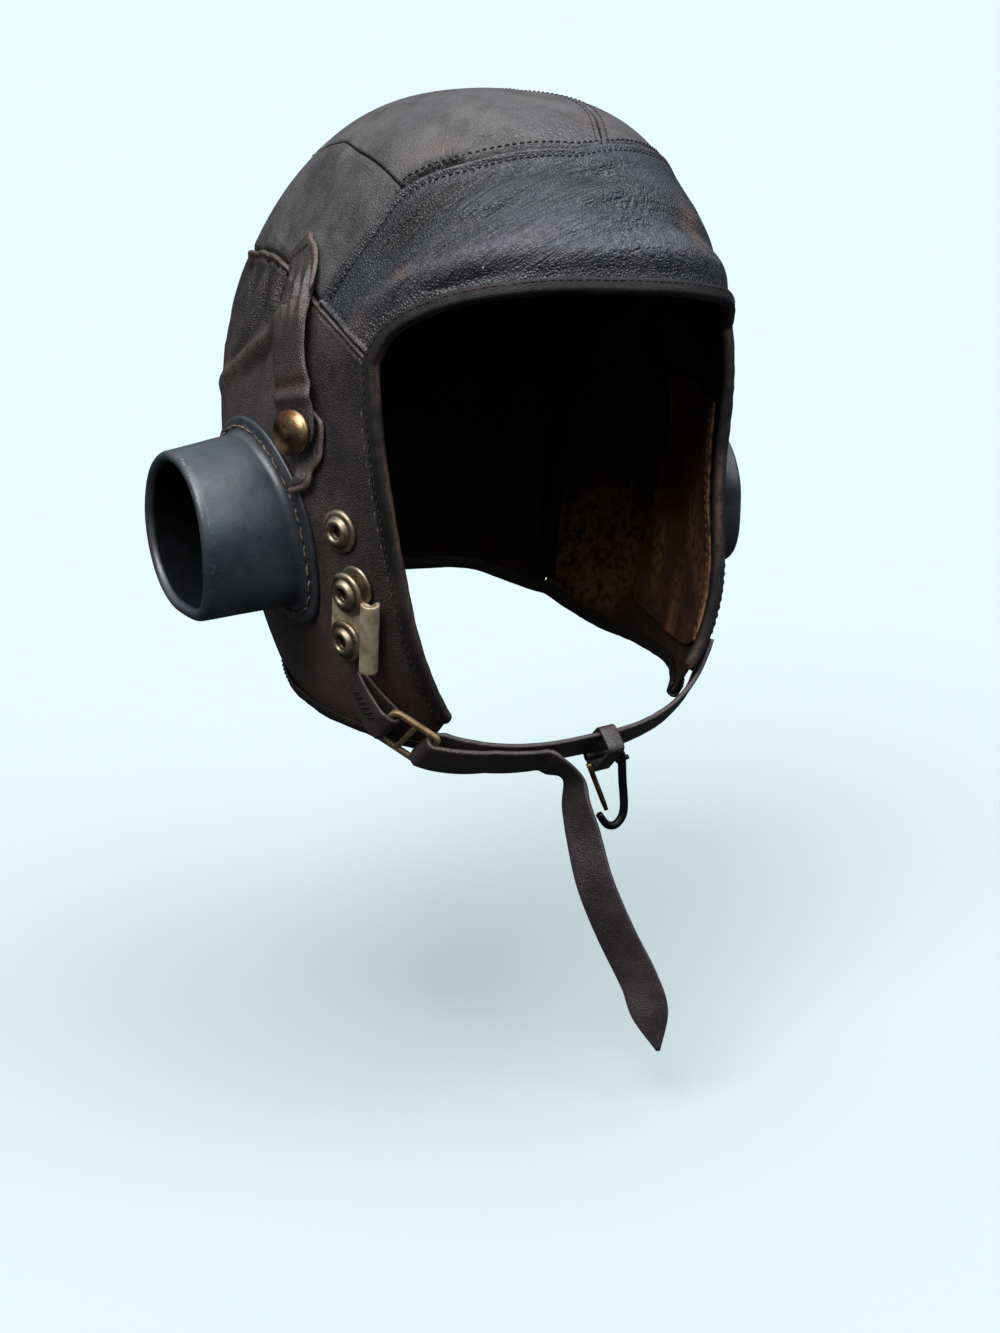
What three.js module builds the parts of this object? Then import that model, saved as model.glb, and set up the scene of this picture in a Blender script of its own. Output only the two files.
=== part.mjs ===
// Leather flying helmet with ear cups, shown with its shape as worn.
// Millimetres and degrees. Up is +Z, the wearer faces -Y and the wearer's right is -X.
// The origin is the inner top of the crown, where the head carries the helmet.
import * as THREE from "three";

const { abs, cos, exp, hypot, max, min, PI, sin } = Math;
const rad = THREE.MathUtils.degToRad;
const deg = THREE.MathUtils.radToDeg;
const mix = THREE.MathUtils.lerp;

// Driving sizes
const LEATHER = 1.8;
const LINING = 1.0;
const GAP = 0.3;
const SEAM_GAP = 1.6;
const HEAD_RADIUS = 120;
const HEAD_CENTRE = new THREE.Vector3(0, 0, LEATHER - HEAD_RADIUS);
const RIGHT = -1;
const LEFT = 1;

// The outer form of the helmet: its radius from the head centre, row by row from crown to chin.
const FORM = [
  { lat: 90, front: 120, side: 120, back: 120, fullness: 2.0 },
  { lat: 70, front: 122, side: 115, back: 121, fullness: 2.05 },
  { lat: 50, front: 120, side: 101, back: 120, fullness: 2.15 },
  { lat: 30, front: 111, side: 90, back: 117, fullness: 2.2 },
  { lat: 12, front: 103, side: 83, back: 111, fullness: 2.25 },
  { lat: -5, front: 99, side: 81, back: 103, fullness: 2.3 },
  { lat: -22, front: 101, side: 84, back: 98, fullness: 2.3 },
  { lat: -40, front: 111, side: 98, back: 103, fullness: 2.2 },
  { lat: -58, front: 118, side: 124, back: 128, fullness: 2.1 },
  { lat: -75, front: 128, side: 150, back: 150, fullness: 2.0 },
  { lat: -90, front: 150, side: 150, back: 150, fullness: 2.0 },
];

// Soft swellings and dents, the same on both sides: place, reach in degrees and height.
const SWELLINGS = [
  { lon: 100, lat: -6, wide: 34, high: 26, out: 10 },
  { lon: 64, lat: 66, wide: 20, high: 16, out: 3 },
  { lon: 47, lat: -30, wide: 20, high: 18, out: 5 },
  { lon: 124, lat: 22, wide: 12, high: 14, out: 3 },
  { lon: 66, lat: 12, wide: 9, high: 22, out: -2 },
];
// The left cheek is drawn in a little further.
const LEFT_SWELLINGS = [{ lon: 54, lat: -13, wide: 24, high: 29, out: -7 }];

// Gathers below the seam over each ear: where a fold starts and ends, how wide and how deep it is.
const GATHERS = [
  { topLon: 88, footLon: 84, width: 2.6, depth: 2.2 },
  { topLon: 97, footLon: 96, width: 2.4, depth: 2.8 },
  { topLon: 105, footLon: 109, width: 2.4, depth: 3.0 },
  { topLon: 113, footLon: 122, width: 2.6, depth: 2.6 },
  { topLon: 122, footLon: 134, width: 2.8, depth: 2.0 },
];
const GATHER_TOP = 44;
const GATHER_FOOT = 8;
const GATHER_FADE = { start: 0.25, rise: 8, fall: 1.6 };

// Wrinkles that run along the brow panel.
const BROW_WRINKLES = [
  { lat: 54, slope: 0.1, width: 1.8, depth: 1.0 },
  { lat: 49, slope: -0.08, width: 1.6, depth: 1.3 },
  { lat: 44, slope: 0.06, width: 1.8, depth: 1.1 },
];
const BROW_LOW = 37;
const BROW_SPREAD = 48;
const BROW_BEND = 0.0035;

// The values of a table's other columns at a place of its key column, on a smooth line.
// A line with level ends starts and stops without a slope.
function readTable(table, key, place, levelEnds = false) {
  const rising = table[table.length - 1][key] > table[0][key] ? 1 : -1;
  const last = table.length - 1;
  let i = 0;
  while (i < last - 1 && rising * table[i + 1][key] <= rising * place) i += 1;
  const span = table[i + 1][key] - table[i][key];
  const s = min(1, max(0, (place - table[i][key]) / span));
  const slope = (k, column) => {
    if (levelEnds && (k === 0 || k === last)) return 0;
    const before = table[max(0, k - 1)];
    const after = table[min(last, k + 1)];
    return (after[column] - before[column]) / (after[key] - before[key]);
  };
  const read = {};
  for (const column of Object.keys(table[0])) {
    if (column === key) continue;
    const a = table[i][column];
    const b = table[i + 1][column];
    const rise = slope(i, column) * span;
    const fall = slope(i + 1, column) * span;
    read[column] =
      a * (2 * s ** 3 - 3 * s ** 2 + 1) +
      rise * (s ** 3 - 2 * s ** 2 + s) +
      b * (3 * s ** 2 - 2 * s ** 3) +
      fall * (s ** 3 - s ** 2);
  }
  return read;
}

// Unit direction of a longitude and latitude: longitude 0 is ahead, and the wearer's left is positive.
function direction(lon, lat) {
  const level = cos(rad(lat));
  return new THREE.Vector3(sin(rad(lon)) * level, -cos(rad(lon)) * level, sin(rad(lat)));
}

const bell = (x) => exp(-x * x);

function swelling(row, side, way) {
  const centre = direction(side * row.lon, row.lat);
  if (centre.dot(way) < 0) return 0;
  const east = new THREE.Vector3(0, 0, 1).cross(centre).normalize();
  const north = centre.clone().cross(east);
  const across = deg(Math.asin(way.dot(east))) / row.wide;
  const along = deg(Math.asin(way.dot(north))) / row.high;
  return row.out * exp(-across * across - along * along);
}

function gathers(lon, lat) {
  if (lat > GATHER_TOP || lat < GATHER_FOOT) return 0;
  const drop = (GATHER_TOP - lat) / (GATHER_TOP - GATHER_FOOT);
  const { start, rise, fall } = GATHER_FADE;
  const fade = min(1, (1 - drop) * fall) * min(1, drop * rise + start);
  let depth = 0;
  for (const fold of GATHERS) {
    const middle = mix(fold.topLon, fold.footLon, drop);
    depth += fold.depth * bell((abs(lon) - middle) / (fold.width * (1 + drop)));
  }
  return -fade * depth;
}

function browWrinkles(lon, lat) {
  if (lat < BROW_LOW) return 0;
  const fade = bell(lon / BROW_SPREAD);
  let depth = 0;
  for (const wrinkle of BROW_WRINKLES) {
    const middle = wrinkle.lat + wrinkle.slope * lon - BROW_BEND * lon * lon;
    depth += wrinkle.depth * bell((lat - middle) / wrinkle.width);
  }
  return -fade * depth;
}

// Radius of the outer form in a direction. Pieces that lie over the leather follow it without its creases.
function radius(way, creased) {
  const lat = deg(Math.asin(min(1, max(-1, way.z))));
  const lon = deg(Math.atan2(way.x, -way.y));
  const row = readTable(FORM, "lat", lat, true);
  const level = hypot(way.x, way.y) || 1;
  const sideways = abs(way.x) / level / row.side;
  const ahead = abs(way.y) / level / (way.y < 0 ? row.front : row.back);
  let r = (sideways ** row.fullness + ahead ** row.fullness) ** (-1 / row.fullness);
  for (const bulge of SWELLINGS) r += swelling(bulge, RIGHT, way) + swelling(bulge, LEFT, way);
  for (const bulge of LEFT_SWELLINGS) r += swelling(bulge, LEFT, way);
  if (creased) r += gathers(lon, lat) + browWrinkles(lon, lat);
  return r;
}

function formPoint(way, creased = false) {
  return way.clone().multiplyScalar(radius(way, creased)).add(HEAD_CENTRE);
}

// Outward normal of the form, from two close neighbours.
function formNormal(way, creased = false) {
  const step = 0.01;
  const a = new THREE.Vector3(-way.y, way.x, 0.001).normalize();
  const b = way.clone().cross(a).normalize();
  const here = formPoint(way, creased);
  const alongA = formPoint(way.clone().addScaledVector(a, step).normalize(), creased).sub(here);
  const alongB = formPoint(way.clone().addScaledVector(b, step).normalize(), creased).sub(here);
  const normal = alongA.cross(alongB).normalize();
  return normal.dot(way) < 0 ? normal.negate() : normal;
}

// A point off the form by a height along its normal.
function offForm(way, height, creased = false) {
  return formPoint(way, creased).addScaledVector(formNormal(way, creased), height);
}

// A smooth line on the unit sphere through places given by longitude and latitude.
function lineThrough(places) {
  const rows = [];
  let run = 0;
  for (const place of places) {
    const way = direction(place.lon, place.lat);
    if (rows.length) run += way.distanceTo(rows[rows.length - 1]);
    rows.push({ run, x: way.x, y: way.y, z: way.z });
  }
  for (const row of rows) row.run /= run;
  const at = (t) => {
    const read = readTable(rows, "run", t);
    return new THREE.Vector3(read.x, read.y, read.z).normalize();
  };
  const stretch = (from, to) => (t) => at(mix(rows[from].run, rows[to].run, t));
  return { at, stretch, runs: rows.map((row) => row.run) };
}

const reversed = (line) => (t) => line(1 - t);
const part = (line, from, to) => (t) => line(mix(from, to, t));
const joined = (first, second, share) => (t) =>
  t < share ? first(t / share) : second((t - share) / (1 - share));

function mirrored(line) {
  return (t) => {
    const way = line(t);
    return new THREE.Vector3(-way.x, way.y, way.z);
  };
}

// Seams and edges of the wearer's right side
const BROW_SEAM = lineThrough([
  { lon: -74, lat: 36 },
  { lon: -62, lat: 48 },
  { lon: -53, lat: 55.5 },
  { lon: -32, lat: 59 },
  { lon: 0, lat: 60 },
]);
const TEMPLE_SEAM = lineThrough([
  { lon: -53, lat: 25 },
  { lon: -63, lat: 31 },
  { lon: -74, lat: 36 },
]);
// The brow's lower edge hangs lower on the wearer's left
const BROW_EDGE = lineThrough([
  { lon: -53, lat: 25 },
  { lon: -49, lat: 30.3 },
  { lon: -38, lat: 34.2 },
  { lon: -20, lat: 35.6 },
  { lon: 0, lat: 34.8 },
  { lon: 20, lat: 32.6 },
  { lon: 38, lat: 30 },
  { lon: 49, lat: 27 },
  { lon: 53, lat: 25 },
]);
const CHEEK_EDGE = lineThrough([
  { lon: -38, lat: -45 },
  { lon: -44, lat: -27 },
  { lon: -48, lat: -8 },
  { lon: -51, lat: 10 },
  { lon: -53, lat: 25 },
]);
const CHIN_END = lineThrough([
  { lon: -38, lat: -45 },
  { lon: -45, lat: -52.5 },
]);
const HEM = lineThrough([
  { lon: -45, lat: -52.5 },
  { lon: -66, lat: -52 },
  { lon: -90, lat: -52.5 },
  { lon: -112, lat: -51.5 },
  { lon: -132, lat: -47 },
]);
const NAPE_HEM = lineThrough([
  { lon: -132, lat: -47 },
  { lon: -156, lat: -43 },
  { lon: -180, lat: -42 },
]);
const EAR_SEAM = lineThrough([
  { lon: -74, lat: 36 },
  { lon: -88, lat: 40.5 },
  { lon: -109, lat: 42 },
  { lon: -132, lat: 36 },
]);
const NAPE_SEAM = lineThrough([
  { lon: -132, lat: 36 },
  { lon: -156, lat: 29 },
  { lon: -180, lat: 27 },
]);
const SIDE_SEAM = lineThrough([
  { lon: -53, lat: 55.5 },
  { lon: -66, lat: 60.5 },
  { lon: -86, lat: 64 },
  { lon: -106, lat: 65 },
]);
const BACK_SEAM = lineThrough([
  { lon: -106, lat: 65 },
  { lon: -139, lat: 57 },
  { lon: -180, lat: 50 },
]);
const EAR_BACK = lineThrough([
  { lon: -132, lat: -47 },
  { lon: -132, lat: -5 },
  { lon: -132, lat: 36 },
]);
// The seam over the crown sits a little to the wearer's left.
const MIDDLE_SHARE = 0.545;
// Where the long rear edge of each crown top ends, as a share of the back seam.
const CROWN_CORNER = 0.4;
const MIDLINE = lineThrough([
  { lon: 10.4, lat: 59.85 },
  { lon: 30, lat: 71 },
  { lon: 90, lat: 82 },
  { lon: 163, lat: 68 },
  { lon: 180, lat: 50 },
]);
const NAPE_MIDLINE = lineThrough([
  { lon: 180, lat: 27 },
  { lon: 180, lat: 50 },
]);

const COLOURS = {
  crown: 0x3a3735,
  brow: 0x23262c,
  ear: 0x2e2624,
  binding: 0x1b1716,
  chamois: 0x6b4226,
  rubber: 0x22262d,
  strap: 0x1f1816,
  brass: 0xa8814a,
  nickel: 0x9a8c78,
  iron: 0x1c1b1c,
};

function material(colour, roughness, metalness) {
  return new THREE.MeshStandardMaterial({ color: colour, roughness, metalness });
}

const helmet = new THREE.Group();

function addPiece(name, geometry, finish) {
  const mesh = new THREE.Mesh(geometry, finish);
  mesh.name = name;
  helmet.add(mesh);
  return mesh;
}

// A closed body from points and triangles, turned so that its faces point out.
function closedBody(points, triangles) {
  let volume = 0;
  for (const [a, b, c] of triangles) {
    volume += points[a].dot(points[b].clone().cross(points[c]));
  }
  const order = volume < 0 ? [0, 2, 1] : [0, 1, 2];
  const geometry = new THREE.BufferGeometry();
  geometry.setFromPoints(points);
  geometry.setIndex(triangles.flatMap((t) => order.map((k) => t[k])));
  geometry.computeVertexNormals();
  return geometry;
}

// A wall between an outer and an inner grid of points of the same size.
function wall(outer, inner) {
  const rows = outer.length;
  const columns = outer[0].length;
  const points = [...outer.flat(), ...inner.flat()];
  const shift = rows * columns;
  const at = (i, j, layer) => layer * shift + i * columns + j;
  const triangles = [];
  const quad = (a, b, c, d) => triangles.push([a, b, c], [a, c, d]);
  for (let i = 0; i < rows - 1; i += 1) {
    for (let j = 0; j < columns - 1; j += 1) {
      quad(at(i, j, 0), at(i, j + 1, 0), at(i + 1, j + 1, 0), at(i + 1, j, 0));
      quad(at(i, j, 1), at(i + 1, j, 1), at(i + 1, j + 1, 1), at(i, j + 1, 1));
    }
  }
  for (let i = 0; i < rows - 1; i += 1) {
    quad(at(i, 0, 0), at(i + 1, 0, 0), at(i + 1, 0, 1), at(i, 0, 1));
    const j = columns - 1;
    quad(at(i, j, 0), at(i, j, 1), at(i + 1, j, 1), at(i + 1, j, 0));
  }
  for (let j = 0; j < columns - 1; j += 1) {
    const i = rows - 1;
    quad(at(0, j, 0), at(0, j, 1), at(0, j + 1, 1), at(0, j + 1, 0));
    quad(at(i, j, 0), at(i, j + 1, 0), at(i, j + 1, 1), at(i, j, 1));
  }
  return closedBody(points, triangles);
}

function lineLength(line) {
  const steps = 12;
  let run = 0;
  for (let i = 0; i < steps; i += 1) {
    run += formPoint(line(i / steps)).distanceTo(formPoint(line((i + 1) / steps)));
  }
  return run;
}

// A leather panel between four lines on the form: foot and head run from front to back, front and rear
// upward. It is set in from the lines, and height is that of its outer face over the form.
function panel({ foot, head, front, rear, columns, rows, height = 0, thickness = LEATHER, inset }) {
  const corners = [foot(0), foot(1), head(0), head(1)];
  const way = (u, v) =>
    new THREE.Vector3()
      .addScaledVector(foot(u), 1 - v)
      .addScaledVector(head(u), v)
      .addScaledVector(front(v), 1 - u)
      .addScaledVector(rear(v), u)
      .addScaledVector(corners[0], -(1 - u) * (1 - v))
      .addScaledVector(corners[1], -u * (1 - v))
      .addScaledVector(corners[2], -(1 - u) * v)
      .addScaledVector(corners[3], -u * v)
      .normalize();
  const outer = [];
  const inner = [];
  for (let i = 0; i <= rows; i += 1) {
    const insetU = inset / lineLength((u) => way(u, i / rows));
    outer.push([]);
    inner.push([]);
    for (let j = 0; j <= columns; j += 1) {
      const insetV = inset / lineLength((v) => way(j / columns, v));
      const place = way(mix(insetU, 1 - insetU, j / columns), mix(insetV, 1 - insetV, i / rows));
      outer[i].push(offForm(place, height, true));
      inner[i].push(offForm(place, height - thickness, true));
    }
  }
  return wall(outer, inner);
}

// Panels of the shell. Each share tells how much of a long edge its first line takes.
const TEMPLE_SHARE = 4 / 20;
const OVER_EAR_SHARE = 10 / 18;
const SIDE_SEAM_SHARE = 8 / 18;
const CROWN_REAR_SHARE = 0.6;
const CHEEK_SHARE = 0.62;
const SIDE_HEM_SHARE = 0.66;
const sides = [
  { name: "right", side: RIGHT, own: (line) => line },
  { name: "left", side: LEFT, own: mirrored },
];

// Frame of the form at a place: point, normal, and the level and upward directions along the surface.
function placeOn(lon, lat, height) {
  const way = direction(lon, lat);
  const normal = formNormal(way);
  const level = new THREE.Vector3(0, 0, 1).cross(normal).normalize();
  const upward = normal.clone().cross(level);
  return { point: offForm(way, height), normal, level, upward };
}

function makeShell() {
  const browTop = joined(BROW_SEAM.at, mirrored(reversed(BROW_SEAM.at)), 0.5);
  const sideShare = BROW_SEAM.runs[2] / 2;
  addPiece(
    "brow_panel",
    panel({
      foot: BROW_EDGE.at,
      head: browTop,
      front: TEMPLE_SEAM.at,
      rear: mirrored(TEMPLE_SEAM.at),
      columns: 30,
      rows: 7,
      inset: SEAM_GAP / 2,
    }),
    material(COLOURS.brow, 0.45, 0),
  );
  for (const { name, side, own } of sides) {
    addPiece(
      "crown_top_" + name,
      panel({
        foot: part(browTop, MIDDLE_SHARE, side === RIGHT ? sideShare : 1 - sideShare),
        head: own(reversed(part(BACK_SEAM.at, CROWN_CORNER, 1))),
        front: MIDLINE.at,
        rear: own(joined(SIDE_SEAM.at, part(BACK_SEAM.at, 0, CROWN_CORNER), CROWN_REAR_SHARE)),
        columns: 10,
        rows: 12,
        inset: SEAM_GAP / 2,
      }),
      material(COLOURS.crown, 0.6, 0),
    );
    addPiece(
      "crown_side_" + name,
      panel({
        foot: own(joined(EAR_SEAM.at, NAPE_SEAM.at, OVER_EAR_SHARE)),
        head: own(joined(SIDE_SEAM.at, BACK_SEAM.at, SIDE_SEAM_SHARE)),
        front: own(BROW_SEAM.stretch(0, 2)),
        rear: own(NAPE_MIDLINE.at),
        columns: 18,
        rows: 6,
        inset: SEAM_GAP / 2,
      }),
      material(COLOURS.crown, 0.6, 0),
    );
    addPiece(
      "ear_section_" + name,
      panel({
        foot: own(joined(CHIN_END.at, HEM.at, TEMPLE_SHARE)),
        head: own(joined(TEMPLE_SEAM.at, EAR_SEAM.at, TEMPLE_SHARE)),
        front: own(CHEEK_EDGE.at),
        rear: own(EAR_BACK.at),
        columns: 20,
        rows: 13,
        inset: SEAM_GAP / 2,
      }),
      material(COLOURS.ear, 0.55, 0),
    );
  }
  addPiece(
    "nape_panel",
    panel({
      foot: joined(NAPE_HEM.at, mirrored(reversed(NAPE_HEM.at)), 0.5),
      head: joined(NAPE_SEAM.at, mirrored(reversed(NAPE_SEAM.at)), 0.5),
      front: EAR_BACK.at,
      rear: mirrored(EAR_BACK.at),
      columns: 14,
      rows: 10,
      inset: SEAM_GAP / 2,
    }),
    material(COLOURS.crown, 0.6, 0),
  );
}

// Bindings, linings and straps
const BINDING = { out: 1.0, reach: 4.0, turn: 1.3, clear: GAP + 0.25 };
const LINING_DEPTH = 0.6;

// A body swept along frames. The section is a list of x and y, along each frame's side and face.
function sweep(section, frames) {
  const count = section.length;
  const points = frames.flatMap(({ centre, side, face }) =>
    section.map(([x, y]) => centre.clone().addScaledVector(side, x).addScaledVector(face, y)),
  );
  const triangles = [];
  for (let i = 0; i < frames.length - 1; i += 1) {
    for (let j = 0; j < count; j += 1) {
      const a = i * count + j;
      const b = i * count + ((j + 1) % count);
      triangles.push([a, b, b + count], [a, b + count, a + count]);
    }
  }
  const cap = THREE.ShapeUtils.triangulateShape(section.map(([x, y]) => new THREE.Vector2(x, y)), []);
  const outward = THREE.ShapeUtils.area(section.map(([x, y]) => new THREE.Vector2(x, y))) > 0;
  const end = (frames.length - 1) * count;
  for (const [a, b, c] of cap) {
    triangles.push(outward ? [a, c, b] : [a, b, c]);
    triangles.push(outward ? [a + end, b + end, c + end] : [a + end, c + end, b + end]);
  }
  return closedBody(points, triangles);
}

// A frame on the form: side points across the line, to the left of its way along, and face is the normal.
function frameOn(line, t, height) {
  const step = 0.002;
  const way = line(t);
  const face = formNormal(way);
  const along = formPoint(line(min(1, t + step))).sub(formPoint(line(max(0, t - step)))).normalize();
  const side = face.clone().cross(along).normalize();
  return { centre: offForm(way, height), side, face, along: side.clone().cross(face) };
}

// A folded binding along an open edge. side tells on which side of the line the leather lies.
function binding(line, steps, side) {
  const { out, reach, turn, clear } = BINDING;
  const low = -LEATHER - clear;
  const section = [
    [reach, clear],
    [reach, clear + out],
    [-turn, clear + out],
    [-turn, low - out],
    [reach, low - out],
    [reach, low],
    [turn - out - 2 * clear, low],
    [turn - out - 2 * clear, clear],
  ].map(([x, y]) => [side * x, y]);
  const frames = [];
  for (let i = 0; i <= steps; i += 1) frames.push(frameOn(line, i / steps, 0));
  return sweep(section, frames);
}

const LINING_FRONT = lineThrough([
  { lon: -46, lat: -42 },
  { lon: -50, lat: -27 },
  { lon: -54, lat: -8 },
  { lon: -57, lat: 8 },
]);
const LINING_REAR = lineThrough([
  { lon: -96, lat: -46 },
  { lon: -96, lat: -20 },
  { lon: -96, lat: 8 },
]);
const LINING_FOOT = lineThrough([
  { lon: -46, lat: -42 },
  { lon: -56, lat: -46 },
  { lon: -96, lat: -46 },
]);
const LINING_HEAD = lineThrough([
  { lon: -57, lat: 8 },
  { lon: -76, lat: 9 },
  { lon: -96, lat: 8 },
]);

function makeEdges() {
  const cheekAndBrow = joined(CHEEK_EDGE.at, BROW_EDGE.at, CHEEK_SHARE / (2 - CHEEK_SHARE));
  const faceEdge = joined(cheekAndBrow, mirrored(reversed(CHEEK_EDGE.at)), 1 - CHEEK_SHARE / 2);
  addPiece(
    "face_binding",
    binding(faceEdge, 52, 1),
    material(COLOURS.binding, 0.6, 0),
  );
  const hem = joined(HEM.at, NAPE_HEM.at, SIDE_HEM_SHARE);
  addPiece(
    "hem_binding",
    binding(joined(hem, mirrored(reversed(hem)), 0.5), 44, -1),
    material(COLOURS.binding, 0.6, 0),
  );
  for (const { name, own } of sides) {
    addPiece(
      "lining_" + name,
      panel({
        foot: own(LINING_FOOT.at),
        head: own(LINING_HEAD.at),
        front: own(LINING_FRONT.at),
        rear: own(LINING_REAR.at),
        columns: 6,
        rows: 9,
        height: -LEATHER - LINING_DEPTH,
        thickness: LINING,
        inset: 0,
      }),
      material(COLOURS.chamois, 0.9, 0),
    );
  }
}

// Ear cups: an open rubber tube on a flange, round but for a filled corner low in front. The left is lower.
const CUP_PLACES = {
  right: { baseY: 5.6, baseZ: -139.5, mouthX: 121, mouthY: 0, mouthZ: -139.6 },
  left: { baseY: 5.6, baseZ: -144, mouthX: 97.5, mouthY: 2.7, mouthZ: -150 },
};
const CUP = {
  baseRadius: 29.5,
  mouthRadius: 28.2,
  flange: 6,
  flangeThickness: 1.5,
  lift: 0.9,
  foot: 1,
  footRise: 0.6,
  neckRise: 2,
  wall: 4,
  rimRound: 2.5,
  rimOut: 1.2,
  rimIn: 0.6,
  corner: 3.6,
  sides: 24,
};

// Distance of the form from the middle plane at a place seen from the side.
function formReach(side, y, z) {
  const halvings = 24;
  let low = HEAD_RADIUS / 3;
  let high = HEAD_RADIUS;
  for (let i = 0; i < halvings; i += 1) {
    const middle = (low + high) / 2;
    const from = new THREE.Vector3(side * middle, y, z).sub(HEAD_CENTRE);
    if (from.length() < radius(from.clone().normalize(), false)) low = middle;
    else high = middle;
  }
  return high;
}

// Radius of the cup's outline at a turn, as a share of its round part.
function cupOutline(turn) {
  const behind = cos(turn);
  const up = sin(turn);
  const power = behind < 0 && up < 0 ? CUP.corner : 2;
  return (abs(behind) ** power + abs(up) ** power) ** (-1 / power);
}

function cupGeometry(side, place) {
  const top = CUP.lift + CUP.flangeThickness;
  const rings = [
    { share: 0, r: CUP.baseRadius + CUP.flange, lift: CUP.lift },
    { share: 0, r: CUP.baseRadius + CUP.flange, lift: top },
    { share: 0, r: CUP.baseRadius + CUP.foot, lift: top + CUP.footRise },
    { share: 0, r: CUP.baseRadius, lift: top + CUP.neckRise },
    { share: 1, r: CUP.mouthRadius, lift: -CUP.rimRound },
    { share: 1, r: CUP.mouthRadius - CUP.rimOut, lift: 0 },
    { share: 1, r: CUP.mouthRadius - CUP.wall + CUP.rimIn, lift: 0 },
    { share: 1, r: CUP.mouthRadius - CUP.wall, lift: -CUP.rimRound },
    { share: 0, r: CUP.baseRadius - CUP.wall, lift: CUP.lift },
  ];
  const points = [];
  for (const ring of rings) {
    const centreY = mix(place.baseY, place.mouthY, ring.share);
    const centreZ = mix(place.baseZ, place.mouthZ, ring.share);
    for (let k = 0; k < CUP.sides; k += 1) {
      const turn = (2 * PI * k) / CUP.sides;
      const r = ring.r * cupOutline(turn);
      const y = centreY + r * cos(turn);
      const z = centreZ + r * sin(turn);
      const x = ring.share ? place.mouthX : formReach(side, y, z);
      points.push(new THREE.Vector3(side * (x + ring.lift), y, z));
    }
  }
  const triangles = [];
  rings.forEach((ring, i) => {
    const next = (i + 1) % rings.length;
    for (let k = 0; k < CUP.sides; k += 1) {
      const k2 = (k + 1) % CUP.sides;
      const [a, b] = [i * CUP.sides + k, i * CUP.sides + k2];
      const [c, d] = [next * CUP.sides + k2, next * CUP.sides + k];
      triangles.push([a, b, c], [a, c, d]);
    }
  });
  return closedBody(points, triangles);
}

// A soft band that lies along a line on the form, with a table of its half width and height.
function band(line, table, steps, thickness) {
  const across = [-1, 0, 1];
  const outer = [];
  const inner = [];
  for (let i = 0; i <= steps; i += 1) {
    const t = i / steps;
    const { half, height } = readTable(table, "at", t);
    const frame = frameOn(line, t, 0);
    const ways = across.map((share) =>
      frame.centre.clone().addScaledVector(frame.side, share * half).sub(HEAD_CENTRE).normalize(),
    );
    outer.push(ways.map((way) => offForm(way, height + thickness)));
    inner.push(ways.map((way) => offForm(way, height)));
  }
  return wall(outer, inner);
}

const EAR_STRAP = lineThrough([
  { lon: -89, lat: 48 },
  { lon: -84.5, lat: 42 },
  { lon: -80.5, lat: 35 },
  { lon: -79, lat: 28 },
  { lon: -75, lat: 18 },
  { lon: -72, lat: 5 },
]);
const EAR_STRAP_SHAPE = [
  { at: 0, half: 2, height: 0.8 },
  { at: 0.12, half: 8.5, height: 0.8 },
  { at: 0.25, half: 5, height: 2.2 },
  { at: 0.38, half: 8.8, height: 3.4 },
  { at: 0.8, half: 8.5, height: 3.4 },
  { at: 1, half: 5, height: 3.4 },
];
const SNAP_TAB = lineThrough([
  { lon: -73, lat: 15 },
  { lon: -70.5, lat: 6 },
  { lon: -70, lat: 0 },
  { lon: -74, lat: -3.5 },
]);
const SNAP_TAB_SHAPE = [
  { at: 0, half: 6, height: 0.6 },
  { at: 0.25, half: 8.3, height: 0.6 },
  { at: 0.5, half: 6.5, height: 0.6 },
  { at: 0.75, half: 4.5, height: 3 },
  { at: 1, half: 1.5, height: 3.6 },
];
const STRAP_THICKNESS = 1.5;

// Turned pieces stand on the form with their axis, local Y, along its normal
const SNAP_CAP = [
  [0, 0],
  [8, 0],
  [8, 0.8],
  [7.2, 1.9],
  [5.2, 2.9],
  [2.6, 3.5],
  [0, 3.7],
];
const PRESS_STUD = [
  [0, 0],
  [7.4, 0],
  [7.4, 1.0],
  [6.4, 2.2],
  [4.6, 1.7],
  [3.9, 3.2],
  [2.4, 3.2],
  [2.4, 0.9],
  [0, 0.9],
];
const TURNED_SIDES = 12;

function turned(profile) {
  return new THREE.LatheGeometry(profile.map(([r, h]) => new THREE.Vector2(r, h)), TURNED_SIDES);
}

function standOn(mesh, side, place) {
  const { point, normal } = placeOn(side * place.lon, place.lat, place.height);
  mesh.position.copy(point);
  mesh.quaternion.setFromUnitVectors(new THREE.Vector3(0, 1, 0), normal);
}

const SNAP_CAP_PLACE = { lon: 73.4, lat: 9.5, height: 5.4 };
const STUD_PLACES = [
  { lon: 61.4, lat: -10.2, height: 0.6 },
  { lon: 58, lat: -21.2, height: 0.6 },
  { lon: 60.3, lat: -31.7, height: 0.6 },
];

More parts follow.
